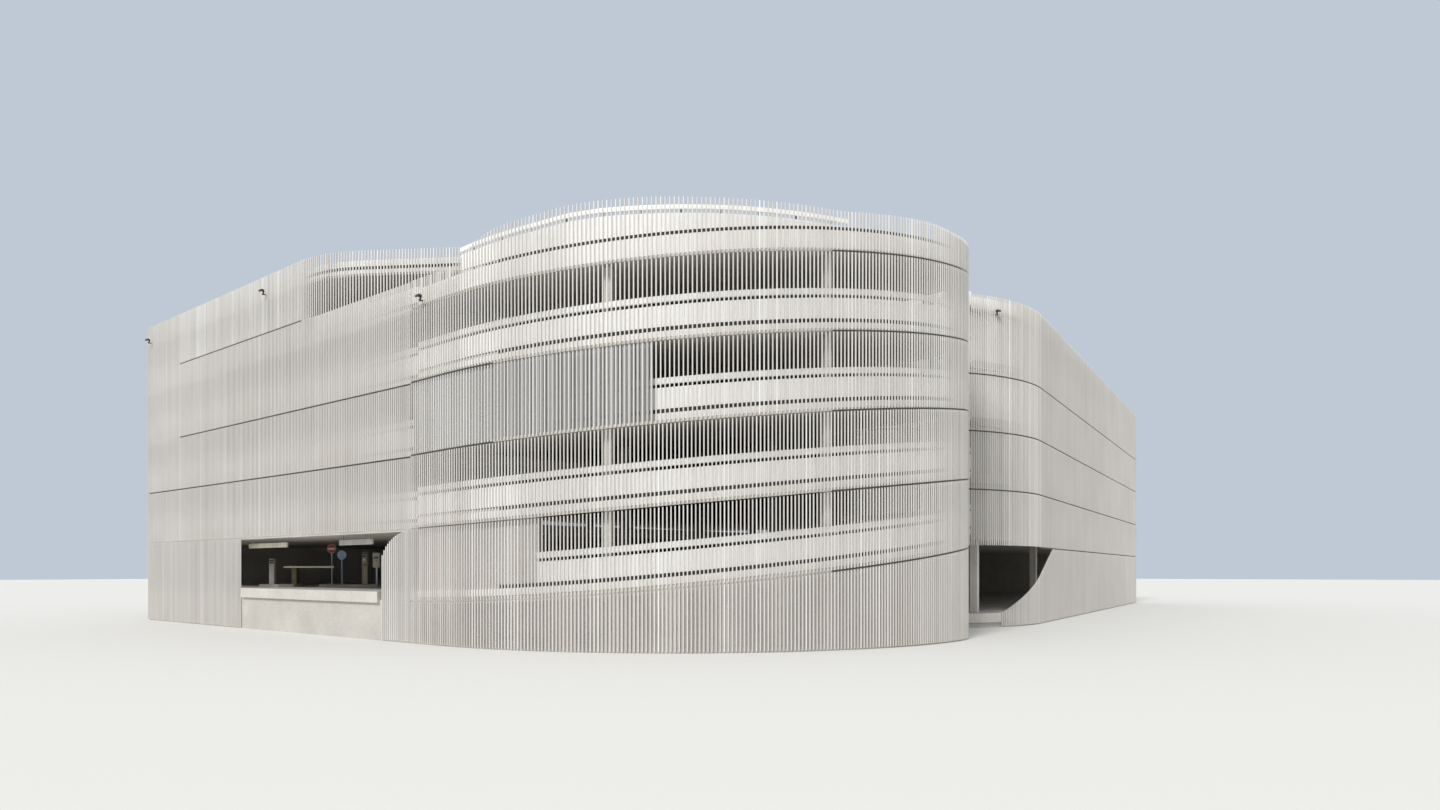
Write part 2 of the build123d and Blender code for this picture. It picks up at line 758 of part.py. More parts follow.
# Lowest tier beside the exit, with its top on the slanted jamb
with BuildPart() as right_lower_fins:
    lower_spots = [p for p in corner_spots + right_spots if p[1] > exit_sill_y]
    add(curtain(lower_spots, fin_foot, right_joints[0] - half_joint))
    with BuildSketch(Plane.YZ):
        with BuildLine():
            Polyline(
                (exit_sill_y, lower_floor_level),
                (exit_jamb_top_y, right_joints[0]),
                (exit_jamb_top_y, 2 * storey),
                (-depth, 2 * storey),
                (-depth, lower_floor_level),
                close=True,
            )
        make_face()
    extrude(amount=2 * width, both=True, mode=Mode.SUBTRACT)
save(right_lower_fins.part, "right_lower_fins")

with BuildPart() as back_fins:
    add(curtain(spots([(east, north), (-east, north)], hidden_fin_pitch, fin_line), fin_foot, right_top))
    joint_plates(right_planes)
save(back_fins.part, "back_fins")

with BuildPart() as side_fins:
    add(curtain(spots([(-east, north), far_left], hidden_fin_pitch, fin_line), fin_foot, front_top))
    joint_plates(level_joints)
save(side_fins.part, "side_fins")

with BuildPart() as roof_screen_front_fins:
    add(curtain(spots(set_back, fin_pitch, fin_line), screen_foot, front_top))
save(roof_screen_front_fins.part, "roof_screen_front_fins")

with BuildPart() as roof_screen_ramp_fins:
    add(curtain(spots([set_back[-1], ramp_head], fin_pitch, fin_line), screen_foot, front_top))
save(roof_screen_ramp_fins.part, "roof_screen_ramp_fins")


# Equipment inside the entrance
cabinet_x = entrance_west - cabinet_left
cabinet_y = front_wall_y(cabinet_x) + cabinet_back
cabinet = (0, 0)


def lane_plane(place, height):
    """A plane turned with the lane at a place: X along the barrier, Y into the building, Z up."""
    turn = radians(lane_turn)
    origin = (cabinet_x + place[0], cabinet_y + place[1], height)
    return Plane(origin=origin, x_dir=(cos(turn), sin(turn), 0), z_dir=(0, 0, 1))


def lane_box(place, foot, size):
    """An upright box that stands at a place, square to the lane."""
    with BuildPart(lane_plane(place, foot)) as body:
        Box(*size, align=(Align.CENTER, Align.CENTER, Align.MIN))
    return body.part


def lane_face(place, height, forward):
    """An upright plane that faces out of the lane: X along the barrier, Y up."""
    turn = radians(lane_turn)
    out = (sin(turn), -cos(turn))
    origin = (cabinet_x + place[0] + forward * out[0], cabinet_y + place[1] + forward * out[1], height)
    return Plane(origin=origin, x_dir=(cos(turn), sin(turn), 0), z_dir=(*out, 0))


island_top = ground_floor_level + island_height
with BuildPart() as islands:
    for place, size in ((entry_island, entry_island_size), (exit_island, exit_island_size)):
        with BuildSketch(lane_plane(place, ground_floor_level)):
            island = Rectangle(*size)
            chamfer(island.vertices(), island_chamfer)
        extrude(amount=island_height)
save(islands.part, "islands")

with BuildPart() as ticket_machine:
    add(lane_box(ticket_column, island_top, ticket_column_size))
    chamfer(ticket_machine.edges().group_by(Axis.Z)[-1], 12)
save(ticket_machine.part, "ticket_column")

with BuildPart() as pay_machine:
    add(lane_box(pay_station, island_top, pay_station_size))
    chamfer(pay_machine.edges().group_by(Axis.Z)[-1], 12)
save(pay_machine.part, "pay_station")

with BuildPart() as reader:
    foot = exit_reader_top - exit_reader_size[2]
    add(lane_box(exit_reader, foot, exit_reader_size))
    add(lane_box(exit_reader, island_top, (reader_post, reader_post, foot - island_top)))
save(reader.part, "exit_reader")

with BuildPart() as sign_posts:
    signs = ((red_sign, red_sign_height, red_pole_radius), (blue_sign, blue_sign_height, blue_pole_radius))
    for place, height, pole_radius in signs:
        with BuildSketch(lane_plane(place, island_top)):
            RegularPolygon(pole_radius, 8)
        extrude(amount=height - island_top)
        with BuildSketch(lane_face(place, height, pole_radius - sign_thickness / 3)):
            RegularPolygon(sign_radius, 24)
        extrude(amount=sign_thickness)
save(sign_posts.part, "sign_posts")

# Barrier: a cabinet with a shaft, an inner arm that lifts and an outer arm that stays level
cabinet_face = cabinet_size[1] / 2
inner_front = cabinet_face + side_clearance
outer_front = inner_front + boom_section[0] + side_clearance
with BuildPart() as barrier_cabinet:
    add(lane_box(cabinet, island_top, cabinet_size))
    chamfer(barrier_cabinet.edges().group_by(Axis.Z)[-1], 10)
    with BuildSketch(lane_face(cabinet, boom_height, cabinet_face)):
        Circle(pivot_radius)
    extrude(amount=side_clearance + boom_section[0])
save(barrier_cabinet.part, "barrier_cabinet")

with BuildPart() as boom_inner:
    with BuildSketch(lane_face(cabinet, boom_height, inner_front)):
        with Locations(((knuckle_reach - boom_tail) / 2, 0)):
            SlotOverall(knuckle_reach + boom_tail + boom_section[1], boom_section[1])
        Circle(pivot_radius + pivot_clearance, mode=Mode.SUBTRACT)
    extrude(amount=boom_section[0])
    with BuildSketch(lane_face(cabinet, boom_height, inner_front + boom_section[0])):
        with Locations((knuckle_reach, 0)):
            Circle(pivot_radius / 2)
    extrude(amount=side_clearance + boom_section[0])
save(boom_inner.part, "boom_inner")

with BuildPart() as boom_outer:
    with BuildSketch(lane_face(cabinet, boom_height, outer_front)):
        with Locations(((knuckle_reach + boom_length) / 2, 0)):
            SlotOverall(boom_length - knuckle_reach + boom_section[1], boom_section[1])
        with Locations((knuckle_reach, 0)):
            Circle(pivot_radius / 2 + pivot_clearance, mode=Mode.SUBTRACT)
    extrude(amount=boom_section[0])
save(boom_outer.part, "boom_outer")

# Height bars hung from the first deck on short rods
deck_soffit = ground_floor_level + storey - deck_thickness
bar_top = height_bar_foot + height_bar_size[1]
with BuildPart() as bars:
    for left, right in height_bars:
        middle_x = entrance_west + (left + right) / 2
        bar_length = (right - left) / cos(radians(front_skew))
        bar_plane = Plane(
            origin=(middle_x, front_wall_y(middle_x, height_bar_inset), height_bar_foot),
            x_dir=(cos(radians(front_skew)), -sin(radians(front_skew)), 0),
            z_dir=(0, 0, 1),
        )
        with BuildSketch(bar_plane):
            Rectangle(bar_length, height_bar_size[0])
        extrude(amount=height_bar_size[1])
        with BuildSketch(bar_plane.offset(height_bar_size[1])):
            with Locations((-0.4 * bar_length, 0), (0.4 * bar_length, 0)):
                Rectangle(hanger_side, hanger_side)
        extrude(amount=deck_soffit - bar_top)
save(bars.part, "height_bars")


# Floodlights on the outer face of the curtain
def front_spot(x):
    """The fin of the front or drum that stands nearest to the front wall line at x."""
    return min(front_spots + curtain_spots, key=lambda p: abs(p[0] - x) + abs(p[1] - front_wall_y(x)))


def corner_spot(bearing):
    """The fin of the rounded corner nearest to a bearing."""
    x = corner_centre[0] + corner_radius * cos(radians(bearing))
    y = corner_centre[1] + corner_radius * sin(radians(bearing))
    return min(corner_spots, key=lambda p: hypot(p[0] - x, p[1] - y))


front_lamps = ((-east, side_lamp), (set_back_start_x, set_back_lamp), (ramp_foot_x, ramp_lamp))
lamp_places = [(front_spot(x + lamp[0]), front_top - lamp[1]) for x, lamp in front_lamps]
lamp_places.append((corner_spot(corner_lamp_bearing), right_top - corner_lamp_drop))
with BuildPart() as wall_lamps:
    for (x, y, turn), height in lamp_places:
        out = Location((x, y, height), (0, 0, turn)) * Location((0, -fin_line, 0))
        with Locations(out):
            Box(fin_width, lamp_arm, lamp_arm / 2, align=(Align.CENTER, Align.MAX, Align.CENTER))
        with Locations(out * Location((0, -lamp_arm, 0))):
            Box(*lamp_size, align=(Align.CENTER, Align.MAX, Align.CENTER))
save(wall_lamps.part, "wall_lamps")
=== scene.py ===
from functools import partial
from math import asin, cos, degrees, pi, radians, sin, sqrt, tan

import bmesh
import bpy
import numpy as np
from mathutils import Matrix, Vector


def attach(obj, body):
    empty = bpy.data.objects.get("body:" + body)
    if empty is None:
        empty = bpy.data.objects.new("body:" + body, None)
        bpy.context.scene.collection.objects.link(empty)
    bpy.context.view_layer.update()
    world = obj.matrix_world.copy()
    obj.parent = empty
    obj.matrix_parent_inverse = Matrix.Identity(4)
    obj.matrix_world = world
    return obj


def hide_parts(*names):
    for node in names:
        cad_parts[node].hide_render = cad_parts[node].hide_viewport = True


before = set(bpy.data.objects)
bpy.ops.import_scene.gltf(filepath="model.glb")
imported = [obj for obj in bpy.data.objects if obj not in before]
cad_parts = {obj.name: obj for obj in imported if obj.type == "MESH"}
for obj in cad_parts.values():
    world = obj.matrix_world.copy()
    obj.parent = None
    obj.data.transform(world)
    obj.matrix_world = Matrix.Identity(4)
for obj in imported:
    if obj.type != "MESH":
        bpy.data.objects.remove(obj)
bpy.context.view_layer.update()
scene = bpy.context.scene
scene.view_settings.view_transform = "Standard"
rng = np.random.default_rng(7)

# Plan, in metres and degrees, as in the frame. The drum is the rounded ramp corner, END the tighter
# arc at its right, and CORNER the right block's round corner. The front wall is turned by SKEW.
EAST = 12.0
NORTH = 17.5
SKEW = 10.3
DRUM_R = 7.3
END_R = 2.25
END_ANGLE = -4.0
NOTCH_X = 8.55
CORNER_R = 4.8
CORNER_Y = -2.995
RAMP_FOOT_X = 2.325
RAMP_HEAD = (5.4, -5.995)
SET_BACK_X = -2.325
SET_BACK_R = 3.0
SET_BACK_TURN = 24.0
FRONT_WALL_END = -81.2

# Levels. The ramp decks slope along x and y; RAMP_SOFFIT is the lowest one's at the drum's centre
STOREY = 1.5
STOREYS = 5
GROUND = 1.05
DECK = 0.24
RAMP_SOFFIT = 1.702
RAMP_SLOPE = (0.040, 0.106)
FRONT_TOP = 8.88
BACK_TOP = 8.73
SCREEN_FOOT = 7.17

# Openings at street level: the entrance's sides and its curved jamb's foot, width and rise, and the
# right opening's side, sill and slanted jamb's width and rise
ENTRANCE = (-5.565, 1.178)
JAMB_FOOT = 1.548
JAMB_CURVE = (1.147, 0.78)
OPENING_Y = -5.245
OPENING_SILL = 0.375
OPENING_SLANT = (3.9, 1.777)

# Deck edges and parapets: insets from the outside face, and heights from the deck's top, but for
# LOW_PANEL, which is from its underside
SLAB_INSET = 0.225
PANEL = 0.06
RAIL_IN = SLAB_INSET + PANEL
SEAM = (-0.045, 0.025)
PANEL_TOP = 0.42
RAIL_FOOT = 0.48
RAIL_TOP = 0.60
RAIL_PROUD = 0.01
ROOF_KERB_TOP = 0.17
LOW_PANEL = 0.59
EDGE_PROUD = 0.004
SEAM_PROUD = 0.007
EDGE_LAP = 0.002
PANEL_CHAMFER = 0.006
RAIL_CHAMFER = 0.012
POST_PITCH = 0.75
POST_HALF = 0.012
POST_LAP = 0.01

# Heights from a deck's underside: where its white edge starts, and the top ramp deck's edge and seam
EDGE_FOOT = 0.062
TOP_EDGE = 0.44
TOP_SEAM = 0.50

# The drum's top parapet: panel and rail from its gap line, and where the panel starts and ends
TOP_PANEL = -0.035
TOP_RAIL = (0.035, 0.115)
TOP_PANEL_START = -97.0
TOP_PANEL_END = 8.04

# Fins of the real pitch and the shortest that is made, the carrier rails behind their joints, and the
# heights of those joints
PITCH = 0.075
UPPER_PITCH = 0.082
FIN_W = 0.029
DRUM_FIN_W = 0.024
FIN_D = 0.028
FIN_NOSE = 0.006
FIN_INSET = 0.03
FIN_FOOT = 0.03
SHORTEST = 0.02
GAP = 0.036
CARRIER_AIR = 0.001
CARRIER_T = 0.005
CARRIER_END = 0.07
FRONT_CUTS = [2.34, 3.84, 5.34]
CROWN = 7.455
RIGHT_CUTS = [2.152, 3.63, 5.16, 6.652]
JOINT_START = -9.6

# The fins' tops and the top parapet's gap line, as (bearing round the drum's centre, height)
TOPS = [(-110, 7.455), (-98, 7.455), (-95, 7.6), (-92.7, 7.79), (-89, 7.96), (-85.5, 8.04), (-81.3, 8.09),
        (-76.5, 8.175), (-73.4, 8.21), (-64.5, 8.25), (-34, 8.25), (-15, 8.54), (14, 8.71), (180, 8.73)]
TOP_GAP = [(-100, 7.72), (-87, 7.86), (-83.8, 7.89), (-80.8, 7.925), (-76.3, 8.0), (-70.9, 8.04),
           (-66.3, 8.05), (-58.8, 8.063), (-51, 8.075), (-30, 8.08)]

# Slats of the screen behind one ramp storey's fins
SLAT_PITCH = 0.064
SLAT_INSET = 0.13
SLAT_FOOT = 0.06
SLAT_END = -62.3

# Shapes of the fins' spread of tones, as the two exponents of a beta distribution; the last and darkest is
# painted shade for the right wall, which gets less light
MIXED, EVEN, BRIGHT, SHADE_SIDE_TONES = (2.6, 2.0), (5.0, 7.0), (7.0, 3.0), (2.0, 8.0)

# An edge sharper than this many degrees stays sharp on a smooth skin
SHARP = 35

DRUM_C = (EAST - DRUM_R, -NORTH + DRUM_R)
FRONT_NORMAL = -90.0 - SKEW
END_C = (DRUM_C[0] + (DRUM_R - END_R) * cos(radians(END_ANGLE)),
         DRUM_C[1] + (DRUM_R - END_R) * sin(radians(END_ANGLE)))
CORNER_C = (EAST - CORNER_R, CORNER_Y)
NOTCH_BEARING = -degrees(asin(sqrt(1 - ((NOTCH_X - CORNER_C[0]) / CORNER_R) ** 2)))


def rgb(code):
    """Linear colour from an sRGB hex code."""
    out = []
    for i in (1, 3, 5):
        c = int(code[i:i + 2], 16) / 255
        out.append(c / 12.92 if c <= 0.04045 else ((c + 0.055) / 1.055) ** 2.4)
    return (*out, 1.0)


def front_y(x):
    """Y of the skewed front wall at x."""
    nx, ny = cos(radians(FRONT_NORMAL)), sin(radians(FRONT_NORMAL))
    return DRUM_C[1] + (DRUM_R - nx * (x - DRUM_C[0])) / ny


def arc(centre, radius, start, end, step=0.15):
    """Points round an arc between two bearings in degrees."""
    n = max(2, int(round(radius * radians(abs(end - start)) / step)))
    b = np.radians(np.linspace(start, end, n + 1))
    return np.column_stack((centre[0] + radius * np.cos(b), centre[1] + radius * np.sin(b)))


FAR_LEFT = (-EAST, front_y(-EAST))
RAMP_FOOT = (RAMP_FOOT_X, front_y(RAMP_FOOT_X))
DRUM = arc(DRUM_C, DRUM_R, FRONT_NORMAL, END_ANGLE)
END = arc(END_C, END_R, END_ANGLE, 90)
NOTCH = (NOTCH_X, END_C[1] + END_R)
CORNER = arc(CORNER_C, CORNER_R, NOTCH_BEARING, 0)


def offset(points, inset):
    """An open line of points moved inwards (to its left) by inset, each point along its corner's mitre."""
    p = np.asarray(points, float)
    d = np.diff(p, axis=0)
    d /= np.linalg.norm(d, axis=1)[:, None]
    n = np.column_stack((-d[:, 1], d[:, 0]))
    before = np.vstack((n[:1], n))
    after = np.vstack((n, n[-1:]))
    share = inset / (1 + np.sum(before * after, axis=1))
    return p + share[:, None] * (before + after)


def shares(line, count):
    """A line cut into runs of like length, each starting where the last one ends."""
    step = len(line) // count
    return [line[i * step:(i + 1) * step + 1 if i < count - 1 else None] for i in range(count)]


def drum_bearing(points):
    """Bearings of points round the drum's centre, in degrees."""
    return np.degrees(np.arctan2(points[:, 1] - DRUM_C[1], points[:, 0] - DRUM_C[0]))


def ramp_soffit(k, x, y):
    """Height of ramp deck k's underside at x, y: a plane that rises along both."""
    return RAMP_SOFFIT + STOREY * k + RAMP_SLOPE[0] * (x - DRUM_C[0]) + RAMP_SLOPE[1] * (y - DRUM_C[1])


def walk(points, pitch=PITCH):
    """Evenly spaced places along a line: x, y and the unit direction, as arrays."""
    p = np.asarray(points, float)
    seg = np.diff(p, axis=0)
    length = np.linalg.norm(seg, axis=1)
    total = np.concatenate(([0], np.cumsum(length)))
    count = max(1, int(round(total[-1] / pitch)))
    s = (np.arange(count) + 0.5) * total[-1] / count
    i = np.clip(np.searchsorted(total, s, side="right") - 1, 0, len(seg) - 1)
    t = (s - total[i]) / length[i]
    d = seg[i] / length[i][:, None]
    return np.column_stack((p[i] + seg[i] * t[:, None], d))


# Materials: coordinates are in metres, so a pattern's scale is 1000 over its size in millimetres
NOISE, COLOUR_RAMP = "ShaderNodeTexNoise", "ShaderNodeValToRGB"
MAPPING, BUMP, MIX = "ShaderNodeMapping", "ShaderNodeBump", "ShaderNodeMix"
MULTIPLY = {"data_type": "RGBA", "blend_type": "MULTIPLY"}


def material(name, base, rough=0.6, metal=0.0):
    """A new node material with its main shader set, as (material, node tree, shader)."""
    m = bpy.data.materials.new(name)
    m.use_nodes = True
    shader = m.node_tree.nodes["Principled BSDF"]
    shader.inputs["Base Color"].default_value = rgb(base)
    shader.inputs["Roughness"].default_value = rough
    shader.inputs["Metallic"].default_value = metal
    return m, m.node_tree, shader


def node(tree, kind, inputs=None, stops=(), **settings):
    """Add one node, set its properties and colour stops, and either link or set its inputs."""
    n = tree.nodes.new(kind)
    for key, value in settings.items():
        setattr(n, key, value)
    for i, (position, code) in enumerate(stops):
        if i >= len(n.color_ramp.elements):
            n.color_ramp.elements.new(1.0)
        n.color_ramp.elements[i].position = position
        n.color_ramp.elements[i].color = rgb(code)
    for key, value in (inputs or {}).items():
        if isinstance(value, bpy.types.NodeSocket):
            tree.links.new(value, n.inputs[key])
        else:
            n.inputs[key].default_value = value
    return n


def anodised(name, shades, rough, metal):
    """Anodised aluminium bars: satin, every bar a shade of its own, with faint run-off streaks and clouds."""
    m, t, s = material(name, shades[0][1], rough, metal)
    place = node(t, "ShaderNodeTexCoord").outputs["Object"]
    own = node(t, "ShaderNodeAttribute", attribute_name="tone").outputs["Fac"]
    shade = node(t, COLOUR_RAMP, {"Fac": own}, shades).outputs["Color"]
    # Streaks where rain runs off a fin and a half: 110 mm wide and 2900 mm long
    drawn = node(t, MAPPING, {"Vector": place, "Scale": (1000 / 110, 1000 / 110, 1000 / 2900)})
    streak = node(t, NOISE, {"Vector": drawn.outputs["Vector"], "Scale": 1.0, "Detail": 5.0,
                             "Roughness": 0.55})
    streaks = node(t, COLOUR_RAMP, {"Fac": streak.outputs["Fac"]}, [(0.3, "#D8D5D0"), (0.7, "#FFFFFF")])
    run_off = node(t, MIX, {0: 0.25, 6: shade, 7: streaks.outputs["Color"]}, **MULTIPLY)
    # Dust clouds over several bars, 2900 mm across
    cloud = node(t, NOISE, {"Vector": place, "Scale": 1000 / 2900, "Detail": 2.0, "Roughness": 0.55})
    clouds = node(t, COLOUR_RAMP, {"Fac": cloud.outputs["Fac"]}, [(0.35, "#DEDBD6"), (0.65, "#FFFFFF")])
    dusty = node(t, MIX, {0: 0.25, 6: run_off.outputs[2], 7: clouds.outputs["Color"]}, **MULTIPLY)
    t.links.new(dusty.outputs[2], s.inputs["Base Color"])
    # Die lines, finer than 1 mm on the real bars, are drawn 17 mm apart so that they show
    fine = node(t, MAPPING, {"Vector": place, "Scale": (1000 / 17, 1000 / 17, 1000 / 420)})
    lines = node(t, NOISE, {"Vector": fine.outputs["Vector"], "Scale": 1.0, "Detail": 3.0,
                            "Roughness": 0.55})
    relief = node(t, BUMP, {"Height": lines.outputs["Fac"], "Strength": 0.15, "Distance": 0.002})
    t.links.new(relief.outputs["Normal"], s.inputs["Normal"])
    return m


def concrete(name, light, dark, floor=None):
    """Cast concrete: matt, clouded and pitted, with a worn darker top where floor is given."""
    m, t, s = material(name, light, 0.85)
    place = node(t, "ShaderNodeTexCoord").outputs["Object"]
    # Clouds of one pour, about 1100 mm across
    cloud = node(t, NOISE, {"Vector": place, "Scale": 1000 / 1100, "Detail": 6.0, "Roughness": 0.6})
    colour = node(t, COLOUR_RAMP, {"Fac": cloud.outputs["Fac"]}, [(0.3, dark), (0.7, light)])
    # Air holes of 2 to 8 mm are drawn 22 mm apart so that they show
    pore = node(t, NOISE, {"Vector": place, "Scale": 1000 / 22, "Detail": 3.0, "Roughness": 0.55})
    pores = node(t, COLOUR_RAMP, {"Fac": pore.outputs["Fac"]}, [(0.35, "#B5B2AB"), (0.6, "#FFFFFF")])
    pitted = node(t, MIX, {0: 0.35, 6: colour.outputs["Color"], 7: pores.outputs["Color"]}, **MULTIPLY)
    colour = pitted.outputs[2]
    if floor:
        # Tyre wear on top faces only, in patches about 2000 mm across
        normal = node(t, "ShaderNodeNewGeometry").outputs["Normal"]
        up = node(t, "ShaderNodeSeparateXYZ", {"Vector": normal}).outputs["Z"]
        top = node(t, "ShaderNodeMath", {0: up, 1: 0.8}, operation="GREATER_THAN").outputs[0]
        wear = node(t, NOISE, {"Vector": place, "Scale": 1000 / 2000, "Detail": 6.0, "Roughness": 0.55})
        worn = node(t, COLOUR_RAMP, {"Fac": wear.outputs["Fac"]}, [(0.3, floor), (0.75, dark)])
        mixed = node(t, MIX, {0: top, 6: colour, 7: worn.outputs["Color"]}, data_type="RGBA")
        colour = mixed.outputs[2]
    t.links.new(colour, s.inputs["Base Color"])
    relief = node(t, BUMP, {"Height": pore.outputs["Fac"], "Strength": 0.25, "Distance": 0.004})
    t.links.new(relief.outputs["Normal"], s.inputs["Normal"])
    return m


def rendered_wall():
    """Sand and cement render, floated and painted: matt, pale above, darker grey below with upright streaks.
    """
    m, t, s = material("painted_render", "#D5D2CD", 0.8)
    place = node(t, "ShaderNodeTexCoord").outputs["Object"]
    # The pale and the darker part meet at the joint of the fins' tiers
    height = node(t, "ShaderNodeSeparateXYZ", {"Vector": place}).outputs["Z"]
    upper = node(t, "ShaderNodeMapRange", {"Value": height, "From Min": 5.14, "From Max": 5.2})
    # Upright darker streaks, 140 mm wide and 6600 mm long
    drawn = node(t, MAPPING, {"Vector": place, "Scale": (1000 / 140, 1000 / 140, 1000 / 6600)})
    upright_streak = node(t, NOISE, {"Vector": drawn.outputs["Vector"], "Scale": 1.0, "Detail": 3.0,
                           "Roughness": 0.55})
    low = node(t, COLOUR_RAMP, {"Fac": upright_streak.outputs["Fac"]}, [(0.35, "#A6A39F"), (0.65, "#C0BDB8")])
    # Clouds about 1100 mm across in the pale coat
    cloud = node(t, NOISE, {"Vector": place, "Scale": 1000 / 1100, "Detail": 6.0, "Roughness": 0.6})
    high = node(t, COLOUR_RAMP, {"Fac": cloud.outputs["Fac"]}, [(0.3, "#DDDAD6"), (0.7, "#EAE8E4")])
    wall_tone = node(t, MIX, {0: upper.outputs["Result"], 6: low.outputs["Color"], 7: high.outputs["Color"]},
                data_type="RGBA")
    t.links.new(wall_tone.outputs[2], s.inputs["Base Color"])
    # Sand of 1 to 2 mm is drawn 22 mm apart so that it shows
    sand = node(t, NOISE, {"Vector": place, "Scale": 1000 / 22, "Detail": 4.0, "Roughness": 0.55})
    relief = node(t, BUMP, {"Height": sand.outputs["Fac"], "Strength": 0.2, "Distance": 0.003})
    t.links.new(relief.outputs["Normal"], s.inputs["Normal"])
    return m


def coated(name, light, dark, rough=0.45, metal=0.0):
    """Powder-coated sheet metal: an even satin skin, faintly clouded and streaked, with orange peel."""
    m, t, s = material(name, light, rough, metal)
    place = node(t, "ShaderNodeTexCoord").outputs["Object"]
    # Clouds 330 mm wide, drawn out upright to 1100 mm
    drawn = node(t, MAPPING, {"Vector": place, "Scale": (1000 / 330, 1000 / 330, 1000 / 1100)})
    cloud = node(t, NOISE, {"Vector": drawn.outputs["Vector"], "Scale": 1.0, "Detail": 5.0,
                            "Roughness": 0.55})
    colour = node(t, COLOUR_RAMP, {"Fac": cloud.outputs["Fac"]}, [(0.3, dark), (0.65, light)])
    # Run-off streaks 70 mm wide and 1200 mm long
    fall = node(t, MAPPING, {"Vector": place, "Scale": (1000 / 70, 1000 / 70, 1000 / 1200)})
    streak = node(t, NOISE, {"Vector": fall.outputs["Vector"], "Scale": 1.0, "Detail": 3.0,
                             "Roughness": 0.55})
    streaks = node(t, COLOUR_RAMP, {"Fac": streak.outputs["Fac"]}, [(0.35, "#D6D4CF"), (0.6, "#FFFFFF")])
    skin = node(t, MIX, {0: 0.3, 6: colour.outputs["Color"], 7: streaks.outputs["Color"]}, **MULTIPLY)
    t.links.new(skin.outputs[2], s.inputs["Base Color"])
    # Orange peel of about 2 mm is drawn 11 mm apart so that it shows
    peel = node(t, NOISE, {"Vector": place, "Scale": 1000 / 11, "Detail": 4.0, "Roughness": 0.55})
    relief = node(t, BUMP, {"Height": peel.outputs["Fac"], "Strength": 0.06, "Distance": 0.001})
    t.links.new(relief.outputs["Normal"], s.inputs["Normal"])
    return m


# Bars: satin, so that they mirror the sky softly
FIN_SHADES = [(0.0, "#CBC7C2"), (0.5, "#D4D1CD"), (0.85, "#DDDBD8"), (1.0, "#F0EFED")]
FIN = anodised("anodised_aluminium_fins", FIN_SHADES, 0.46, 0.1)
SLAT = anodised("anodised_aluminium_slats", [(0.0, "#AEAFB0"), (0.5, "#B9BABA"), (1.0, "#C6C6C5")], 0.5, 0.3)
# Coated steel of the deck edges: smooth and pale, the posts dull, and a matt dark strip of painted shadow in
# each seam
EDGE = coated("coated_steel_edge_trim", "#F7F5F2", "#EEECE8", 0.55)
PANEL_M = coated("coated_steel_parapet_sheet", "#F8F7F5", "#EFEEEB", 0.5)
RAIL = coated("coated_steel_capping", "#F8F7F5", "#EDEBE8", 0.4, 0.1)
# The posts' dark steel also serves the carrier rails, where it is painted shade in the fins' joints
POST = coated("weathered_steel_posts_and_painted_joint_shade", "#55554F", "#44443F", 0.5, 0.3)
# Painted shadow: a dark strip fills the open gap at each parapet's foot
SHADOW = coated("dark_strip_painted_shadow_gap", "#3A3A38", "#262624", 0.8)
# Concrete and render: matt and clouded, the decks worn darker on top
DECK_M = concrete("floated_concrete_deck", "#D0CDC6", "#BCB8B1", "#A5A29B")
WALL_M = concrete("shuttered_concrete_wall", "#C6C3BD", "#B4B1AB")
CORNER_M = rendered_wall()
COLUMN_M = concrete("painted_concrete_column", "#E2E0DB", "#D0CDC7")
KERB = concrete("precast_concrete_kerb", "#A8A6A0", "#8A8882", "#7F7D78")
# Paint of the lane's machines, signs and floodlights: smoother than the building's
LANE = coated("coated_steel_ticket_case", "#C6BDB9", "#ADA4A0", 0.4)
YELLOW = coated("coated_steel_cabinet", "#6F6A48", "#57533A", 0.4)
BOOM = coated("coated_aluminium_boom", "#E9E4C8", "#D2CBA6", 0.4)
STEEL = coated("galvanised_steel", "#B9BBBC", "#9DA0A1", 0.35, 0.5)
CREAM = coated("coated_aluminium_cream", "#D8D2BC", "#BDB7A1", 0.5)
DARK = coated("die_cast_aluminium_black", "#47484A", "#38393B", 0.5)
PAY_PAINT = coated("coated_steel_pay_case", "#A59C82", "#8B836C", 0.4)
BAR_GREY = coated("coated_aluminium_grey", "#B9B6AE", "#A09D95", 0.5)
BLUE_POLE = coated("coated_steel_pole", "#8C9BAC", "#73839A", 0.4)
RED = coated("enamelled_plate_red", "#B0242B", "#8E1B22", 0.35)
WHITE = coated("enamelled_plate_white", "#ECEAE6", "#D8D6D2", 0.35)
BLUE = coated("enamelled_plate_blue", "#9DB4D0", "#86A0C2", 0.35)
# Glass: dark and glossy
SCREEN = material("float_glass_over_black", "#15191C", 0.12)[0]


# Meshes
def mesh(name, verts, faces, mat, smooth=False, tone=None):
    """An object from arrays of corners and faces that rides on the building."""
    data = bpy.data.meshes.new(name)
    data.from_pydata(np.asarray(verts).tolist(), [], faces)
    if tone is not None:
        data.attributes.new("tone", "FLOAT", "POINT").data.foreach_set("value", np.asarray(tone, np.float32))
    data.polygons.foreach_set("use_smooth", [smooth] * len(data.polygons))
    data.update()
    shape = bmesh.new()
    shape.from_mesh(data)
    bmesh.ops.recalc_face_normals(shape, faces=shape.faces)
    shape.to_mesh(data)
    shape.free()
    obj = bpy.data.objects.new(name, data)
    scene.collection.objects.link(obj)
    obj.data.materials.append(mat)
    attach(obj, "building")
    return obj


def band(sides):
    """Corner numbers of the faces between two rings of so many corners."""
    ring = np.arange(sides)
    return np.column_stack((ring, np.roll(ring, -1), np.roll(ring, -1) + sides, ring + sides))


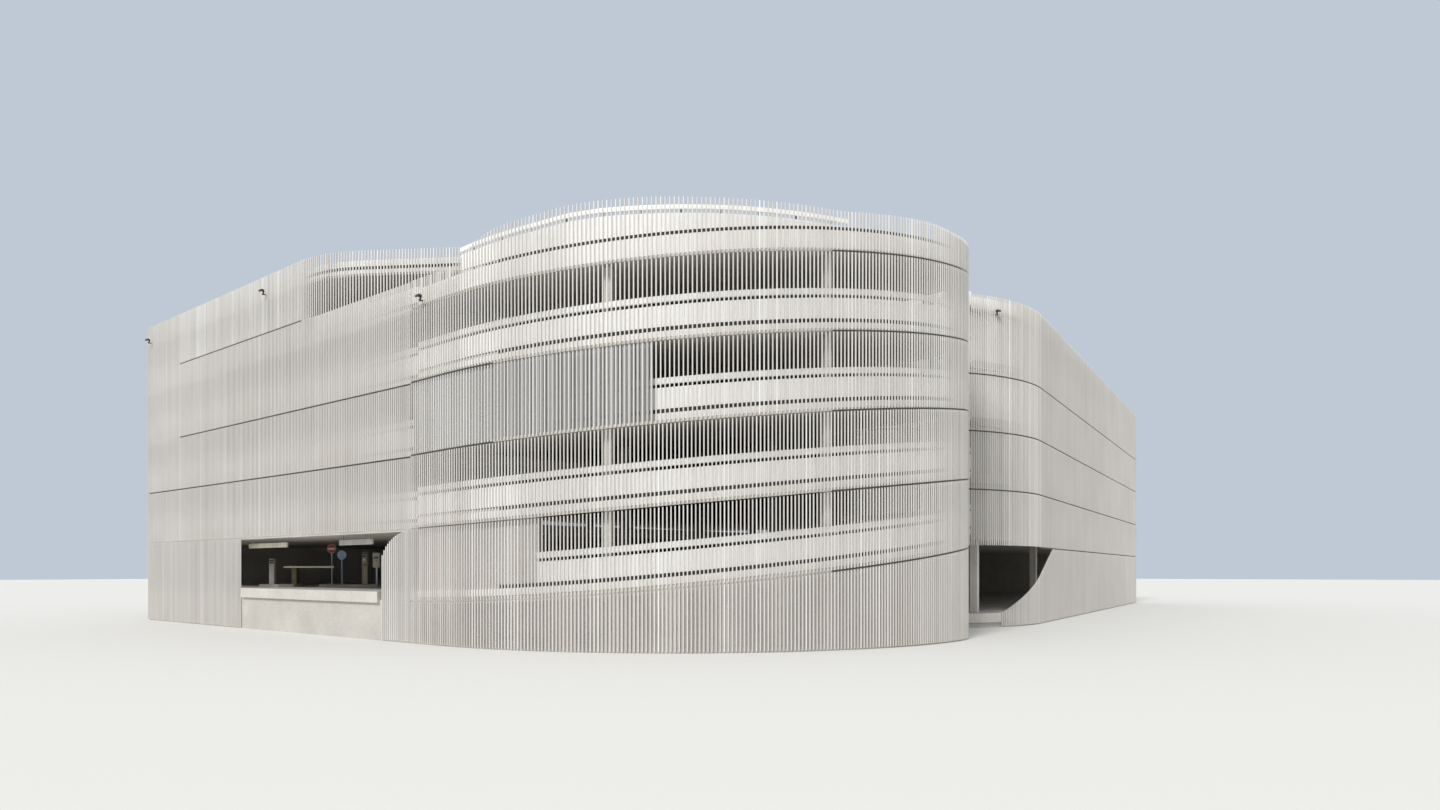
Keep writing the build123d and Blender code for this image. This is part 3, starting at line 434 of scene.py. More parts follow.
def uprights(places, section, intervals, own):
    """Uprights of one section: at each place one for every (low, high) pair of height arrays.

    A corner is the place + u along the wall + v inwards, at the low and then at the high end of each
    interval; own is one tone for each place. The result is corners, faces and tones.
    """
    x, y, ax, ay = places.T
    sides = len(section)
    base = np.stack([np.column_stack((x + u * ax - v * ay, y + u * ay + v * ax)) for u, v in section], axis=1)
    ring = np.arange(sides)
    quads = band(sides)
    verts, faces, tones = [], [], []
    start = 0
    for low, high in intervals:
        low = np.broadcast_to(np.asarray(low, float), x.shape)
        high = np.broadcast_to(np.asarray(high, float), x.shape)
        keep = high - low > SHORTEST
        n = int(keep.sum())
        if not n:
            continue
        b = base[keep]
        lo = np.dstack((b, np.repeat(low[keep][:, None], sides, 1)))
        hi = np.dstack((b, np.repeat(high[keep][:, None], sides, 1)))
        verts.append(np.concatenate((lo, hi), axis=1).reshape(-1, 3))
        first = start + np.arange(n)[:, None] * 2 * sides
        faces += (first[:, :, None] + quads[None]).reshape(-1, 4).tolist()
        faces += (first + ring[::-1]).tolist() + (first + ring + sides).tolist()
        tones.append(np.repeat(own[keep], 2 * sides))
        start += n * 2 * sides
    return np.vstack(verts), faces, np.concatenate(tones)


def joined(parts):
    """Several (corners, faces, tones) sets as one."""
    verts, faces, tones, start = [], [], [], 0
    for v, f, t in parts:
        verts.append(v)
        faces += [[i + start for i in face] for face in f]
        tones.append(t)
        start += len(v)
    return np.vstack(verts), faces, np.concatenate(tones)


def fins(name, sets, replaced, shades=MIXED, width=FIN_W):
    """Fins with a chamfered nose, from sets of (places, height intervals), each fin with its own tone."""
    w, c = width / 2, FIN_NOSE
    low, high = FIN_INSET, FIN_INSET + FIN_D
    section = [(-w, high), (-w, low + c), (-w + c, low), (w - c, low), (w, low + c), (w, high)]
    parts = []
    for places, intervals in sets:
        parts.append(uprights(places, section, intervals, rng.beta(*shades, len(places))))
    verts, faces, tones = joined(parts)
    obj = mesh(name, verts, faces, FIN, tone=tones)
    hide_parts(*replaced)


def tiers(cuts, foot, top):
    """Height intervals between cut heights, each cut opened by the joint's gap."""
    edges = [foot] + [c for cut in cuts for c in (cut - GAP / 2, cut + GAP / 2)] + [top]
    return [(edges[i], edges[i + 1]) for i in range(0, len(edges), 2)]


def clipped(cuts, foot, top):
    """The same where the top or foot may lie anywhere among the cuts."""
    out = []
    for low, high in tiers(cuts, -99.0, 99.0):
        out.append((np.maximum(low, foot), np.minimum(high, top)))
    return out


def rings(name, rows, mat, replaced=()):
    """A closed skin through rings of corners with the same count, smooth but for its sharp edges."""
    sides = len(rows[0])
    ring = np.arange(sides)
    faces = (np.arange(len(rows) - 1)[:, None, None] * sides + band(sides)[None]).reshape(-1, 4).tolist()
    faces += [ring[::-1].tolist(), (ring + (len(rows) - 1) * sides).tolist()]
    obj = mesh(name, np.vstack(rows), faces, mat, smooth=True)
    obj.data.set_sharp_from_angle(angle=radians(SHARP))
    if replaced:
        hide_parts(*replaced)


def sweep(name, line, profile, mat, replaced=()):
    """A closed profile carried along a line: profile is (inset, height function) for each corner.

    Corner (i, j) lies on the line moved inwards by inset j, at the height function's value there, so
    the surface is a grid of points along the line by corners round the profile, with both ends capped.
    """
    corners = []
    for inset, height in profile:
        a = offset(line, inset)
        corners.append(np.column_stack((a, height(a[:, 0], a[:, 1]))))
    rings(name, np.stack(corners, axis=1), mat, replaced)


def strip(near, far, low, high, plane, c=0.0):
    """Profile of a flat bar between two insets and two heights, its outer edges chamfered by c."""
    if not c:
        return [(near, plane(low)), (near, plane(high)), (far, plane(high)), (far, plane(low))]
    return [(near, plane(low + c)), (near, plane(high - c)), (near + c, plane(high)), (far - c, plane(high)),
            (far, plane(high - c)), (far, plane(low + c)), (far - c, plane(low)), (near + c, plane(low))]


def flat(value):
    """A height function that is the same everywhere."""
    return lambda x, y: np.full(np.shape(x), float(value))


def above_level(base, above):
    """A height function that is level, above a base."""
    return flat(base + above)


def sloped(k, above):
    """A height function that follows ramp deck k, above its underside."""
    return lambda x, y: ramp_soffit(k, x, y) + above


# Curtain: the fins at the left end run past the upper joints
front = walk([FAR_LEFT, RAMP_FOOT])
fx = front[:, 0]
front_foot = FRONT_CUTS[0] + GAP / 2
end_tiers = tiers(FRONT_CUTS[1:2], front_foot, FRONT_TOP)
fins("curtain_front_end", [(front[fx < JOINT_START], end_tiers)], ["front_fins", "front_crown_fins"], EVEN)
wall_tiers = tiers(FRONT_CUTS[1:], front_foot, CROWN - GAP / 2)
fins("curtain_front", [(front[fx > JOINT_START], wall_tiers)], ["front_fins"], EVEN)
crown = front[(fx > JOINT_START) & (fx < SET_BACK_X)]
fins("curtain_front_crown", [(crown, [(CROWN + GAP / 2, FRONT_TOP)])], ["front_crown_fins"], BRIGHT)
low_left = front[fx < ENTRANCE[0]]
fins("curtain_front_lower_left", [(low_left, [(FIN_FOOT, FRONT_CUTS[0] - GAP / 2)])],
     ["front_lower_left_fins"], EVEN)
# The entrance's right jamb is a quarter of an ellipse
low_right = front[fx > ENTRANCE[1] + FIN_W]
reach = np.clip((RAMP_FOOT_X - low_right[:, 0]) / JAMB_CURVE[0], 0, 1)
jamb = JAMB_FOOT + JAMB_CURVE[1] * np.sqrt(1 - reach**2)
fins("curtain_front_lower_right", [(low_right, [(FIN_FOOT, jamb)])], ["front_lower_right_fins"])


def drum_set(line, pitch, picked):
    """Places along a line on the drum, and the picked tiers there, under the falling top line."""
    places = walk(line, pitch)
    cuts = [ramp_soffit(k, places[:, 0], places[:, 1]) for k in range(STOREYS)]
    top = np.interp(drum_bearing(places), *np.array(TOPS).T)
    return places, clipped(cuts, FIN_FOOT, top)[picked]


def drum_curtain(name, line, replaced):
    """Fins of the drum; in the upper three tiers they stand a little further apart than below."""
    sets = [drum_set(line, PITCH, slice(3)), drum_set(line, UPPER_PITCH, slice(3, None))]
    fins(name, sets, replaced, width=DRUM_FIN_W)


drum_line = np.vstack((RAMP_FOOT, DRUM))
for number, part in enumerate(shares(drum_line, 4), start=1):
    drum_curtain(f"curtain_drum_{number}", part, [f"drum_fins_{number}"])
for number, part in enumerate(shares(END, 2), start=1):
    drum_curtain(f"curtain_drum_end_{number}", part, [f"drum_end_fins_{number}"])
notch = walk([END[-1], NOTCH, CORNER[0]])
notch_cuts = [ramp_soffit(k, notch[:, 0], notch[:, 1]) for k in range(STOREYS)]
fins("curtain_notch", [(notch, clipped(notch_cuts, FIN_FOOT, BACK_TOP))], ["notch_fins"])

right_tiers = tiers(RIGHT_CUTS[1:], RIGHT_CUTS[0] + GAP / 2, BACK_TOP)
for number, part in enumerate(shares(CORNER, 3), start=1):
    fins(f"curtain_corner_{number}", [(walk(part), right_tiers)], [f"corner_fins_{number}"])
right = walk([(EAST, CORNER_Y), (EAST, NORTH)])
# The right wall's fins get the darkest tones as painted shade, as that side gets less light
fins("curtain_right", [(right, right_tiers)], ["right_fins"], SHADE_SIDE_TONES)
lower = np.vstack((walk(CORNER), right))
lower = lower[lower[:, 1] > OPENING_Y + FIN_W]
slant = OPENING_SILL + (lower[:, 1] - OPENING_Y) / OPENING_SLANT[0] * OPENING_SLANT[1]
lower_top = np.minimum(slant, RIGHT_CUTS[0] - GAP / 2)
# Below the first joint too, the darkest tones are painted shade
fins("curtain_right_lower", [(lower, [(FIN_FOOT, lower_top)])], ["right_lower_fins"], SHADE_SIDE_TONES)
back = walk([(EAST, NORTH), (-EAST, NORTH)])
fins("curtain_back", [(back, tiers(RIGHT_CUTS, FIN_FOOT, BACK_TOP))], ["back_fins"])
side = walk([(-EAST, NORTH), FAR_LEFT])
fins("curtain_side", [(side, tiers(FRONT_CUTS + [CROWN], FIN_FOOT, FRONT_TOP))], ["side_fins"])


def carrier(name, line, plane):
    """Carrier rail on the wall behind a joint between two tiers of fins, its dark finish painted shade for
    the joint.
    """
    near = FIN_INSET + FIN_D + CARRIER_AIR
    sweep(name, line, strip(near, near + CARRIER_T, -GAP / 2, GAP / 2, plane), POST)


side_line = [(-EAST, NORTH - CARRIER_END), (-EAST, FAR_LEFT[1] + CARRIER_END)]
for number, cut in enumerate(FRONT_CUTS[1:] + [CROWN], start=1):
    ends = (-EAST + CARRIER_END if number == 1 else JOINT_START, SET_BACK_X if cut == CROWN else RAMP_FOOT_X)
    joint_line = np.array([(x, front_y(x)) for x in ends])
    carrier(f"front_carrier_{number}", joint_line, partial(above_level, cut))
    carrier(f"side_carrier_{number}", side_line, partial(above_level, cut))
right_line = np.vstack((CORNER, (EAST, NORTH), (-EAST + CARRIER_END, NORTH)))
for number, cut in enumerate(RIGHT_CUTS, start=1):
    line = right_line[-3:] if number == 1 else right_line
    carrier(f"right_carrier_{number}", line, partial(above_level, cut))
# Rails behind all joints at the drum's right end, and two near its start, where the joints look dark: their
# dark finish is painted shade
near_end, far_start = len(DRUM) // 7, len(DRUM) * 2 // 3
far_joint = np.vstack((DRUM[far_start:], END[1:len(END) // 2]))
near_joint = np.vstack((RAMP_FOOT, DRUM[:near_end]))
for k in range(STOREYS):
    carrier(f"drum_carrier_{k + 1}", far_joint, partial(sloped, k))
    if k in (2, 3):
        carrier(f"drum_near_carrier_{k + 1}", near_joint, partial(sloped, k))

# Screens round the set-back roof edge: an arc off the front wall, a straight line turned by
# SET_BACK_TURN that meets the ramp's line at a corner, and that line on to the ramp's head
set_back = np.array((SET_BACK_X, front_y(SET_BACK_X)))
normal = np.array((cos(radians(FRONT_NORMAL)), sin(radians(FRONT_NORMAL))))
set_arc = arc(set_back - SET_BACK_R * normal, SET_BACK_R, FRONT_NORMAL, SET_BACK_TURN - 90.0)
run = (RAMP_HEAD[0] - RAMP_FOOT[0]) / (RAMP_HEAD[1] - RAMP_FOOT[1])
across = set_arc[-1][0] - RAMP_FOOT[0] - run * (set_arc[-1][1] - RAMP_FOOT[1])
turn = tan(radians(SET_BACK_TURN))
corner_y = set_arc[-1][1] - across * turn / (1 - run * turn)
corner = (RAMP_FOOT[0] + run * (corner_y - RAMP_FOOT[1]), corner_y)
screen_span = [(SCREEN_FOOT, FRONT_TOP)]
fins("screen_front", [(walk(np.vstack((set_arc, corner))), screen_span)], ["roof_screen_front_fins"])
fins("screen_ramp", [(walk([corner, RAMP_HEAD]), screen_span)], ["roof_screen_ramp_fins"])

# Deck edges, parapets and rails on smooth lines. The photo shows no seam where the drum starts
past = CORNER[:, 1] > RAMP_HEAD[1]
head = (CORNER_C[0] + sqrt(CORNER_R**2 - (RAMP_HEAD[1] - CORNER_C[1]) ** 2), RAMP_HEAD[1])
ramp_line = np.vstack((RAMP_FOOT, DRUM, END[1:], NOTCH, CORNER[~past], head))
ramp_seam_line = ramp_line[near_end:-3]
level_line = np.vstack(((EAST, CORNER_Y), (EAST, NORTH), (-EAST, NORTH), FAR_LEFT, RAMP_FOOT))
outer_line = np.vstack((head, CORNER[past], (EAST, NORTH), (-EAST, NORTH), FAR_LEFT))
set_back_line = np.vstack((FAR_LEFT, set_arc, corner, RAMP_HEAD))
roof_line = np.vstack((outer_line, set_back_line[1:]))
edge_out, seam_out, edge_in = SLAB_INSET - EDGE_PROUD, SLAB_INSET - SEAM_PROUD, SLAB_INSET + EDGE_LAP


def posts(name, line, low, high):
    """Square steel posts between two height functions, against the inner face of the parapet."""
    h = POST_HALF
    places = walk(offset(line, RAIL_IN - h), POST_PITCH)
    x, y = places[:, 0], places[:, 1]
    section = [(-h, h), (-h, -h), (h, -h), (h, h)]
    verts, faces, _ = uprights(places, section, [(low(x, y), high(x, y))], np.ones(len(places)))
    mesh(name, verts, faces, POST)


def ledge(name, line, seam_line, plane):
    """White edge of a deck with the dark strip of painted shadow in its seam, which may be shorter."""
    edge_top, seam_top = DECK + SEAM[0], DECK + SEAM[1]
    sweep(f"{name}_edge", line, strip(edge_out, edge_in, EDGE_FOOT, edge_top, plane), EDGE)
    sweep(f"{name}_seam", seam_line, strip(seam_out, edge_in, edge_top, seam_top, plane), SHADOW)


def panel_strip(top, plane):
    """Profile of a parapet's sheet from the seam up to a height above the deck's underside."""
    return strip(SLAB_INSET, RAIL_IN, DECK + SEAM[1], top, plane, PANEL_CHAMFER)


def parapet(name, line, plane, replaced):
    """Panel, open gap with posts, and rail of one deck."""
    sweep(f"{name}_panel", line, panel_strip(DECK + PANEL_TOP, plane), PANEL_M, replaced=replaced)
    posts(f"{name}_posts", line, plane(DECK - POST_LAP), plane(DECK + RAIL_FOOT + POST_LAP))
    rail = strip(SLAB_INSET - RAIL_PROUD, RAIL_IN, DECK + RAIL_FOOT, DECK + RAIL_TOP, plane, RAIL_CHAMFER)
    sweep(f"{name}_rail", line, rail, RAIL, replaced=replaced)


def from_bearing(line, bearing):
    """The part of a line that lies past a bearing round the drum."""
    b = drum_bearing(line)
    first = int(np.argmax((b > bearing) & (b < 0)))
    start = (DRUM_C[0] + DRUM_R * cos(radians(bearing)), DRUM_C[1] + DRUM_R * sin(radians(bearing)))
    return np.vstack((start, line[first:]))


def deck_plane(k):
    """Height function above level deck k's underside, of which the roof is the last."""
    return partial(above_level, GROUND + STOREY * k - DECK)


for k in range(STOREYS - 1):
    ledge(f"ramp_{k}", ramp_line, ramp_seam_line, partial(sloped, k))
    line = ramp_line if k else from_bearing(ramp_line, FRONT_WALL_END)
    parapet(f"ramp_{k}", line, partial(sloped, k), ["ramp_parapets"])
for k in range(1, STOREYS):
    ledge(f"deck_{k}", level_line, level_line, deck_plane(k))
    if k < STOREYS - 1:
        parapet(f"deck_{k}", level_line, deck_plane(k), [f"deck_parapet_{k}"])

# The roof's edge has a seam only on the set-back line, where the photo shows one
roof_plane = deck_plane(STOREYS)
ledge("roof", roof_line, set_back_line, roof_plane)
roof_strip = strip(edge_out, edge_in, DECK + SEAM[0], DECK + SEAM[1], roof_plane)
sweep("roof_edge_top", outer_line, roof_strip, EDGE)
roof_kerb = panel_strip(DECK + ROOF_KERB_TOP, roof_plane)
sweep("roof_kerb", roof_line, roof_kerb, PANEL_M, replaced=["roof_upstand"])

# The fourth deck's parapet: whole beside and behind, only its panel below the roof screen in front
parapet("deck_4", np.vstack((level_line[:-1], set_back)), deck_plane(4), ["deck_parapet_4"])
low_panel = panel_strip(LOW_PANEL, deck_plane(4))
sweep("deck_4_low_panel", np.array((set_back, RAMP_FOOT)), low_panel, PANEL_M,
      replaced=["deck_parapet_4"])


def above_gap_line(value):
    """Height from the top parapet's gap line, which never drops under the top deck's seam."""
    def height(x, y):
        line = np.interp(drum_bearing(np.column_stack((x, y))), *np.array(TOP_GAP).T) + value
        return np.maximum(line, ramp_soffit(4, x, y) + TOP_SEAM)
    return height


# Top parapet of the drum: its upper edge and rail stay level while the deck climbs behind it
top_plane = partial(sloped, 4)
top_edge = strip(edge_out, edge_in, EDGE_FOOT, TOP_EDGE, top_plane)
sweep("ramp_4_edge", ramp_line, top_edge, EDGE, replaced=["ramp_parapets"])
# The top deck's seam is a dark strip of painted shadow as well
sweep("ramp_4_seam", ramp_seam_line, strip(seam_out, edge_in, TOP_EDGE, TOP_SEAM, top_plane), SHADOW)
drum_part = from_bearing(drum_line, TOP_PANEL_START)
drum_part = drum_part[ramp_soffit(4, drum_part[:, 0], drum_part[:, 1]) + TOP_SEAM < TOP_PANEL_END]
top_low, top_high = top_plane(TOP_SEAM), above_gap_line(TOP_PANEL)
top_profile = [(SLAB_INSET, top_low), (SLAB_INSET, top_high), (RAIL_IN, top_high), (RAIL_IN, top_low)]
sweep("ramp_4_panel", drum_part, top_profile, PANEL_M, replaced=["ramp_parapets"])
posts("ramp_4_posts", drum_part, top_plane(DECK), above_gap_line(TOP_RAIL[0] + POST_LAP))
top_rail = strip(SLAB_INSET - RAIL_PROUD, RAIL_IN, *TOP_RAIL, above_gap_line)
sweep("ramp_4_rail", drum_part, top_rail, RAIL, replaced=["ramp_parapets"])

# Screen of upright slats behind the fins of one ramp storey, each 52 mm wide and 20 mm deep
slats = walk(offset(drum_line[drum_bearing(drum_line) < SLAT_END], SLAT_INSET), SLAT_PITCH)
slat_section = [(-0.026, 0.01), (-0.026, -0.006), (-0.02, -0.01), (0.02, -0.01), (0.026, -0.006),
                (0.026, 0.01)]
slat_low = ramp_soffit(2, slats[:, 0], slats[:, 1]) + SLAT_FOOT
slat_high = ramp_soffit(3, slats[:, 0], slats[:, 1])
slat_tones = rng.uniform(0, 1, len(slats))
verts, faces, tones = uprights(slats, slat_section, [(slat_low, slat_high)], slat_tones)
screen = mesh("storey_screen_slats", verts, faces, SLAT, tone=tones)
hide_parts("slat_screen")

# Lane equipment, square to the lane: u runs along the barrier and v into the building
LANE_TURN = radians(30.3)
CABINET = (-5.85, -13.9213)
ISLAND_TOP = 1.125


def lane(place, u, v, z):
    """World points of lane coordinates u, v from a place given beside the cabinet: a turn by LANE_TURN."""
    c, s = cos(LANE_TURN), sin(LANE_TURN)
    u, v, z = np.broadcast_arrays(u, v, z)
    return np.column_stack((CABINET[0] + place[0] + u * c - v * s, CABINET[1] + place[1] + u * s + v * c, z))


def case(name, place, size, corner, levels, mat, replaced=()):
    """Rounded upright case: a rounded rectangle, drawn in by an inset at each (inset, height) level.

    A point of the outline is the corner's centre, (half side - inset - radius) from the middle, plus
    radius * (cos a, sin a) over that corner's quarter turn.
    """
    a = np.radians(np.arange(4)[:, None] * 90 + np.linspace(0, 90, 6)[None]).ravel()
    sign_u, sign_v = np.repeat([1, -1, -1, 1], 6), np.repeat([1, 1, -1, -1], 6)
    rows = []
    for inset, z in levels:
        r = max(corner - inset, 0.001)
        u = sign_u * (size[0] / 2 - inset - r) + r * np.cos(a)
        v = sign_v * (size[1] / 2 - inset - r) + r * np.sin(a)
        rows.append(lane(place, u, v, z))
    rings(name, rows, mat, replaced)


def plate(name, place, middle, size, face, proud, mat):
    """Plate with bevelled edges, fixed on a case's front face at distance face from its middle."""
    u = np.array((-1, 1, 1, -1)) * size[0] / 2
    z = np.array((-1, -1, 1, 1)) * size[1] / 2
    rows = []
    for grow, v in ((1.0, face - 0.003), (1.0, face + proud * 0.5), (1 - 0.004 / size[0], face + proud)):
        rows.append(lane(place, middle[0] + u * grow, -v, middle[1] + z * grow))
    rings(name, rows, mat)


def disc(name, place, height, profile, mat, replaced=()):
    """Round part facing out of the lane: (radius, distance before the place) turned about its axis."""
    a = np.linspace(0, 2 * pi, 49)[:-1]
    rows = [lane(place, r * np.cos(a), -d, height + r * np.sin(a)) for r, d in profile]
    rings(name, rows, mat, replaced)


def machine_levels(foot, top, draw=0.012):
    """Levels of a case with a plinth, upright sides and a rounded top edge."""
    return [(0.004, foot), (0.004, foot + 0.03), (0.0, foot + 0.034), (0.0, top - draw),
            (draw * 0.3, top - draw * 0.35), (draw, top)]


# World places of the equipment from the cabinet, and heights of the arm's shaft and the red plate
BOX = (0.0, 0.0)
TICKET, PAY, READER = (-0.51, -0.338), (1.725, 0.967), (1.99, 1.127)
RED_SIGN, BLUE_SIGN = (0.74, 0.627), (0.995, 0.772)
SHAFT_Z = 1.6
RED_SIGN_Z = 2.11

case("ticket_case", TICKET, (0.15, 0.13), 0.018, machine_levels(ISLAND_TOP, 1.825), LANE,
     replaced=["ticket_column"])
case("pay_case", PAY, (0.165, 0.16), 0.02, machine_levels(ISLAND_TOP, 2.025), PAY_PAINT,
     replaced=["pay_station"])
case("reader_post", READER, (0.05, 0.05), 0.008, [(0.0, ISLAND_TOP), (0.0, 1.6)], STEEL,
     replaced=["exit_reader"])
case("reader_foot", READER, (0.11, 0.11), 0.01,
     [(0.0, ISLAND_TOP), (0.0, ISLAND_TOP + 0.012), (0.004, ISLAND_TOP + 0.016)], STEEL)
case("reader_head", READER, (0.19, 0.12), 0.014, machine_levels(1.585, 1.995), CREAM,
     replaced=["exit_reader"])

# What each case has on its front: (part, middle, width and height, how far proud, material)
FRONTS = [("ticket", TICKET, 0.065, [("hood", (0, 1.775), (0.13, 0.05), 0.012, DARK),
                                     ("screen", (0, 1.715), (0.1, 0.045), 0.004, SCREEN),
                                     ("slot", (0, 1.64), (0.07, 0.012), 0.006, DARK),
                                     ("button", (0, 1.58), (0.026, 0.026), 0.008, STEEL),
                                     ("door", (0, 1.35), (0.126, 0.34), 0.003, LANE)]),
          ("pay", PAY, 0.08, [("hood", (0, 1.975), (0.145, 0.05), 0.014, DARK),
                              ("screen", (-0.015, 1.895), (0.095, 0.06), 0.004, SCREEN),
                              ("slot", (0.05, 1.82), (0.012, 0.05), 0.006, DARK),
                              ("keys", (-0.02, 1.8), (0.06, 0.05), 0.006, STEEL),
                              ("tray", (0, 1.66), (0.1, 0.035), 0.012, DARK),
                              ("door", (0, 1.39), (0.14, 0.42), 0.003, PAY_PAINT)]),
          ("reader", READER, 0.06, [("hood", (0, 1.945), (0.19, 0.06), 0.01, CREAM),
                                    ("screen", (0, 1.86), (0.12, 0.06), 0.004, SCREEN),
                                    ("slot", (0, 1.77), (0.08, 0.012), 0.006, DARK)])]
for machine, place, face, parts in FRONTS:
    for part, middle, size, proud, mat in parts:
        plate(f"{machine}_{part}", place, middle, size, face, proud, mat)

case("cabinet_case", BOX, (0.14, 0.15), 0.012, machine_levels(ISLAND_TOP, 1.628, 0.008), YELLOW,
     ["barrier_cabinet"])
case("cabinet_lid", BOX, (0.146, 0.156), 0.014, [(0.0, 1.618), (0.0, 1.632), (0.004, 1.638), (0.012, 1.64)],
     YELLOW)
plate("cabinet_door", BOX, (0, 1.33), (0.116, 0.3), 0.075, 0.003, YELLOW)
plate("cabinet_lock", BOX, (0.045, 1.36), (0.012, 0.022), 0.078, 0.004, STEEL)
disc("boom_shaft", BOX, SHAFT_Z, [(0.015, 0.07), (0.015, 0.101), (0.012, 0.103)], STEEL,
     ["barrier_cabinet"])
disc("boom_hub_cover", BOX, SHAFT_Z, [(0.028, 0.07), (0.028, 0.078), (0.02, 0.081)], DARK)

# Signs: (name, place, height of the plate's middle, pole's radius, pole's paint, face's enamel)
SIGNS = [("red", RED_SIGN, RED_SIGN_Z, 0.012, STEEL, RED), ("blue", BLUE_SIGN, 1.935, 0.034, BLUE_POLE, BLUE)]
for sign, place, height, radius, paint, face in SIGNS:
    tall = height + 0.11
    case(f"{sign}_sign_pole", place, (radius * 2, radius * 2), radius,
         [(0.0, ISLAND_TOP), (0.0, tall - 0.004), (0.004, tall)], paint, ["sign_posts"])
    case(f"{sign}_sign_foot", place, (0.1, 0.1), 0.01,
         [(0.0, ISLAND_TOP), (0.0, ISLAND_TOP + 0.01), (0.003, ISLAND_TOP + 0.012)], STEEL)
    # The clamps and the plate stand 4 mm off the pole
    front = radius + 0.004
    for number, clamp in enumerate((-0.05, 0.05), start=1):
        levels = [(0.0, height + clamp - 0.01), (0.0, height + clamp + 0.01)]
        case(f"{sign}_sign_clamp_{number}", place, (front * 2, front * 2), 0.004, levels, STEEL)
    rim = [(0.118, front), (0.128, front - 0.002), (0.128, front + 0.006), (0.124, front + 0.008),
           (0.12, front + 0.004)]
    disc(f"{sign}_sign_plate", place, height, rim, WHITE, ["sign_posts"])
    disc(f"{sign}_sign_face", place, height, [(0.119, front + 0.002), (0.119, front + 0.006)], face)
plate("red_sign_bar", RED_SIGN, (0, RED_SIGN_Z), (0.18, 0.042), 0.021, 0.004, WHITE)

# Height bars: boards with a trim at both edges, on rods under the first deck. Each board's ends are
# squared to the front wall, so on that wall's line they lie BAR_SHIFT further left
BAR_SHIFT = 0.067
BAR_INSET = (0.36, 0.39)
BAR_SPAN = (2.085, 2.21)
ROD_SPAN = (2.2, 2.31)
ROD_HALF = 0.01
rod_section = [(-ROD_HALF, ROD_HALF), (-ROD_HALF, -ROD_HALF), (ROD_HALF, -ROD_HALF), (ROD_HALF, ROD_HALF)]
for number, west, east, paint in ((1, -5.79, -3.65, CREAM), (2, -1.084, 0.377, BAR_GREY)):
    ends = np.array([(x, front_y(x)) for x in (west - BAR_SHIFT, east - BAR_SHIFT)])
    board = strip(*BAR_INSET, *BAR_SPAN, flat, 0.006)
    sweep(f"height_bar_{number}", ends, board, paint, ["height_bars"])
    for part, low, high in (("lower", 2.088, 2.096), ("upper", 2.199, 2.207)):
        trim = strip(BAR_INSET[0] - 0.003, BAR_INSET[0] + 0.0005, low, high, flat)
        sweep(f"height_bar_{number}_{part}_trim", ends, trim, STEEL)
    along = walk(offset(ends, sum(BAR_INSET) / 2), 0.01)
    rods = along[[len(along) // 10, -len(along) // 10]]
    verts, faces, _ = uprights(rods, rod_section, [ROD_SPAN], np.ones(2))
    mesh(f"height_bar_{number}_rods", verts, faces, STEEL)

# Floodlights on the curtain: (x, y, z, bearing), each a leaning arm, a fork and a tilted housing with
# ribs and glass. Blocks are given from the lamp's middle, as along the wall, outwards and up
LAMPS = [(-11.643, -14.738, 8.45, FRONT_NORMAL), (-4.104, -16.108, 8.48, FRONT_NORMAL),
         (2.839, -17.37, 7.035, FRONT_NORMAL), (11.381, -5.481, 8.34, -32.0)]
LAMP_TILT = 24


def blocks(name, items, mat, bevel=0.003):
    """Bevelled blocks on every lamp: (centre, size, tilt), the tilt in degrees about the wall's direction."""
    signs = np.array([(i, j, k) for i in (-1, 1) for j in (-1, 1) for k in (-1, 1)], float)
    quads = np.array([(0, 1, 3, 2), (4, 6, 7, 5), (0, 4, 5, 1), (2, 3, 7, 6), (0, 2, 6, 4), (1, 5, 7, 3)])
    verts, faces = [], []
    for x, y, z, bearing in LAMPS:
        cb, sb = cos(radians(bearing)), sin(radians(bearing))
        for centre, size, tilt in items:
            ct, st = cos(radians(tilt)), sin(radians(tilt))
            p = signs * np.array(size) / 2
            p = np.column_stack((p[:, 0], p[:, 1] * ct + p[:, 2] * st, p[:, 2] * ct - p[:, 1] * st))
            u, v, w = (p + np.array(centre)).T
            faces += (quads + 8 * len(verts)).tolist()
            verts.append(np.column_stack((x + v * cb - u * sb, y + v * sb + u * cb, z + w)))
    obj = mesh(name, np.vstack(verts), faces, mat)
    edge = obj.modifiers.new("edges", "BEVEL")
    edge.width = bevel
    edge.segments = 2
    return obj


housing = blocks("floodlight_housings", [((0, 0.03, -0.002), (0.086, 0.096, 0.036), LAMP_TILT)], DARK)
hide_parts("wall_lamps")
blocks("floodlight_arms", [((0, -0.055, -0.085), (0.026, 0.06, 0.024), 0),
                           ((0, -0.026, -0.05), (0.034, 0.03, 0.11), -15),
                           ((0, -0.026, 0.0), (0.1, 0.014, 0.028), 0),
                           ((-0.047, 0.0, 0.006), (0.006, 0.056, 0.034), 0),
                           ((0.047, 0.0, 0.006), (0.006, 0.056, 0.034), 0)], DARK, 0.002)
ribs = [((w, 0.032, 0.02), (0.004, 0.07, 0.014), LAMP_TILT) for w in np.linspace(-0.034, 0.034, 7)]
blocks("floodlight_ribs", ribs, DARK, 0.001)
blocks("floodlight_glass", [((0, 0.022, -0.02), (0.07, 0.078, 0.004), LAMP_TILT)], SCREEN, 0.001)

# Materials of the frame's own nodes, by the first of these words that a node's name holds
NODE_FINISHES = [("columns", COLUMN_M), ("islands", KERB), ("boom", BOOM), ("corner_wall", CORNER_M),
                 ("parapet", PANEL_M), ("deck", DECK_M), ("foundation", WALL_M), ("_wall", WALL_M)]
for name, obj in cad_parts.items():
    finish = next((mat for word, mat in NODE_FINISHES if word in name), None)
    for s in obj.material_slots if finish else ():
        s.material = finish

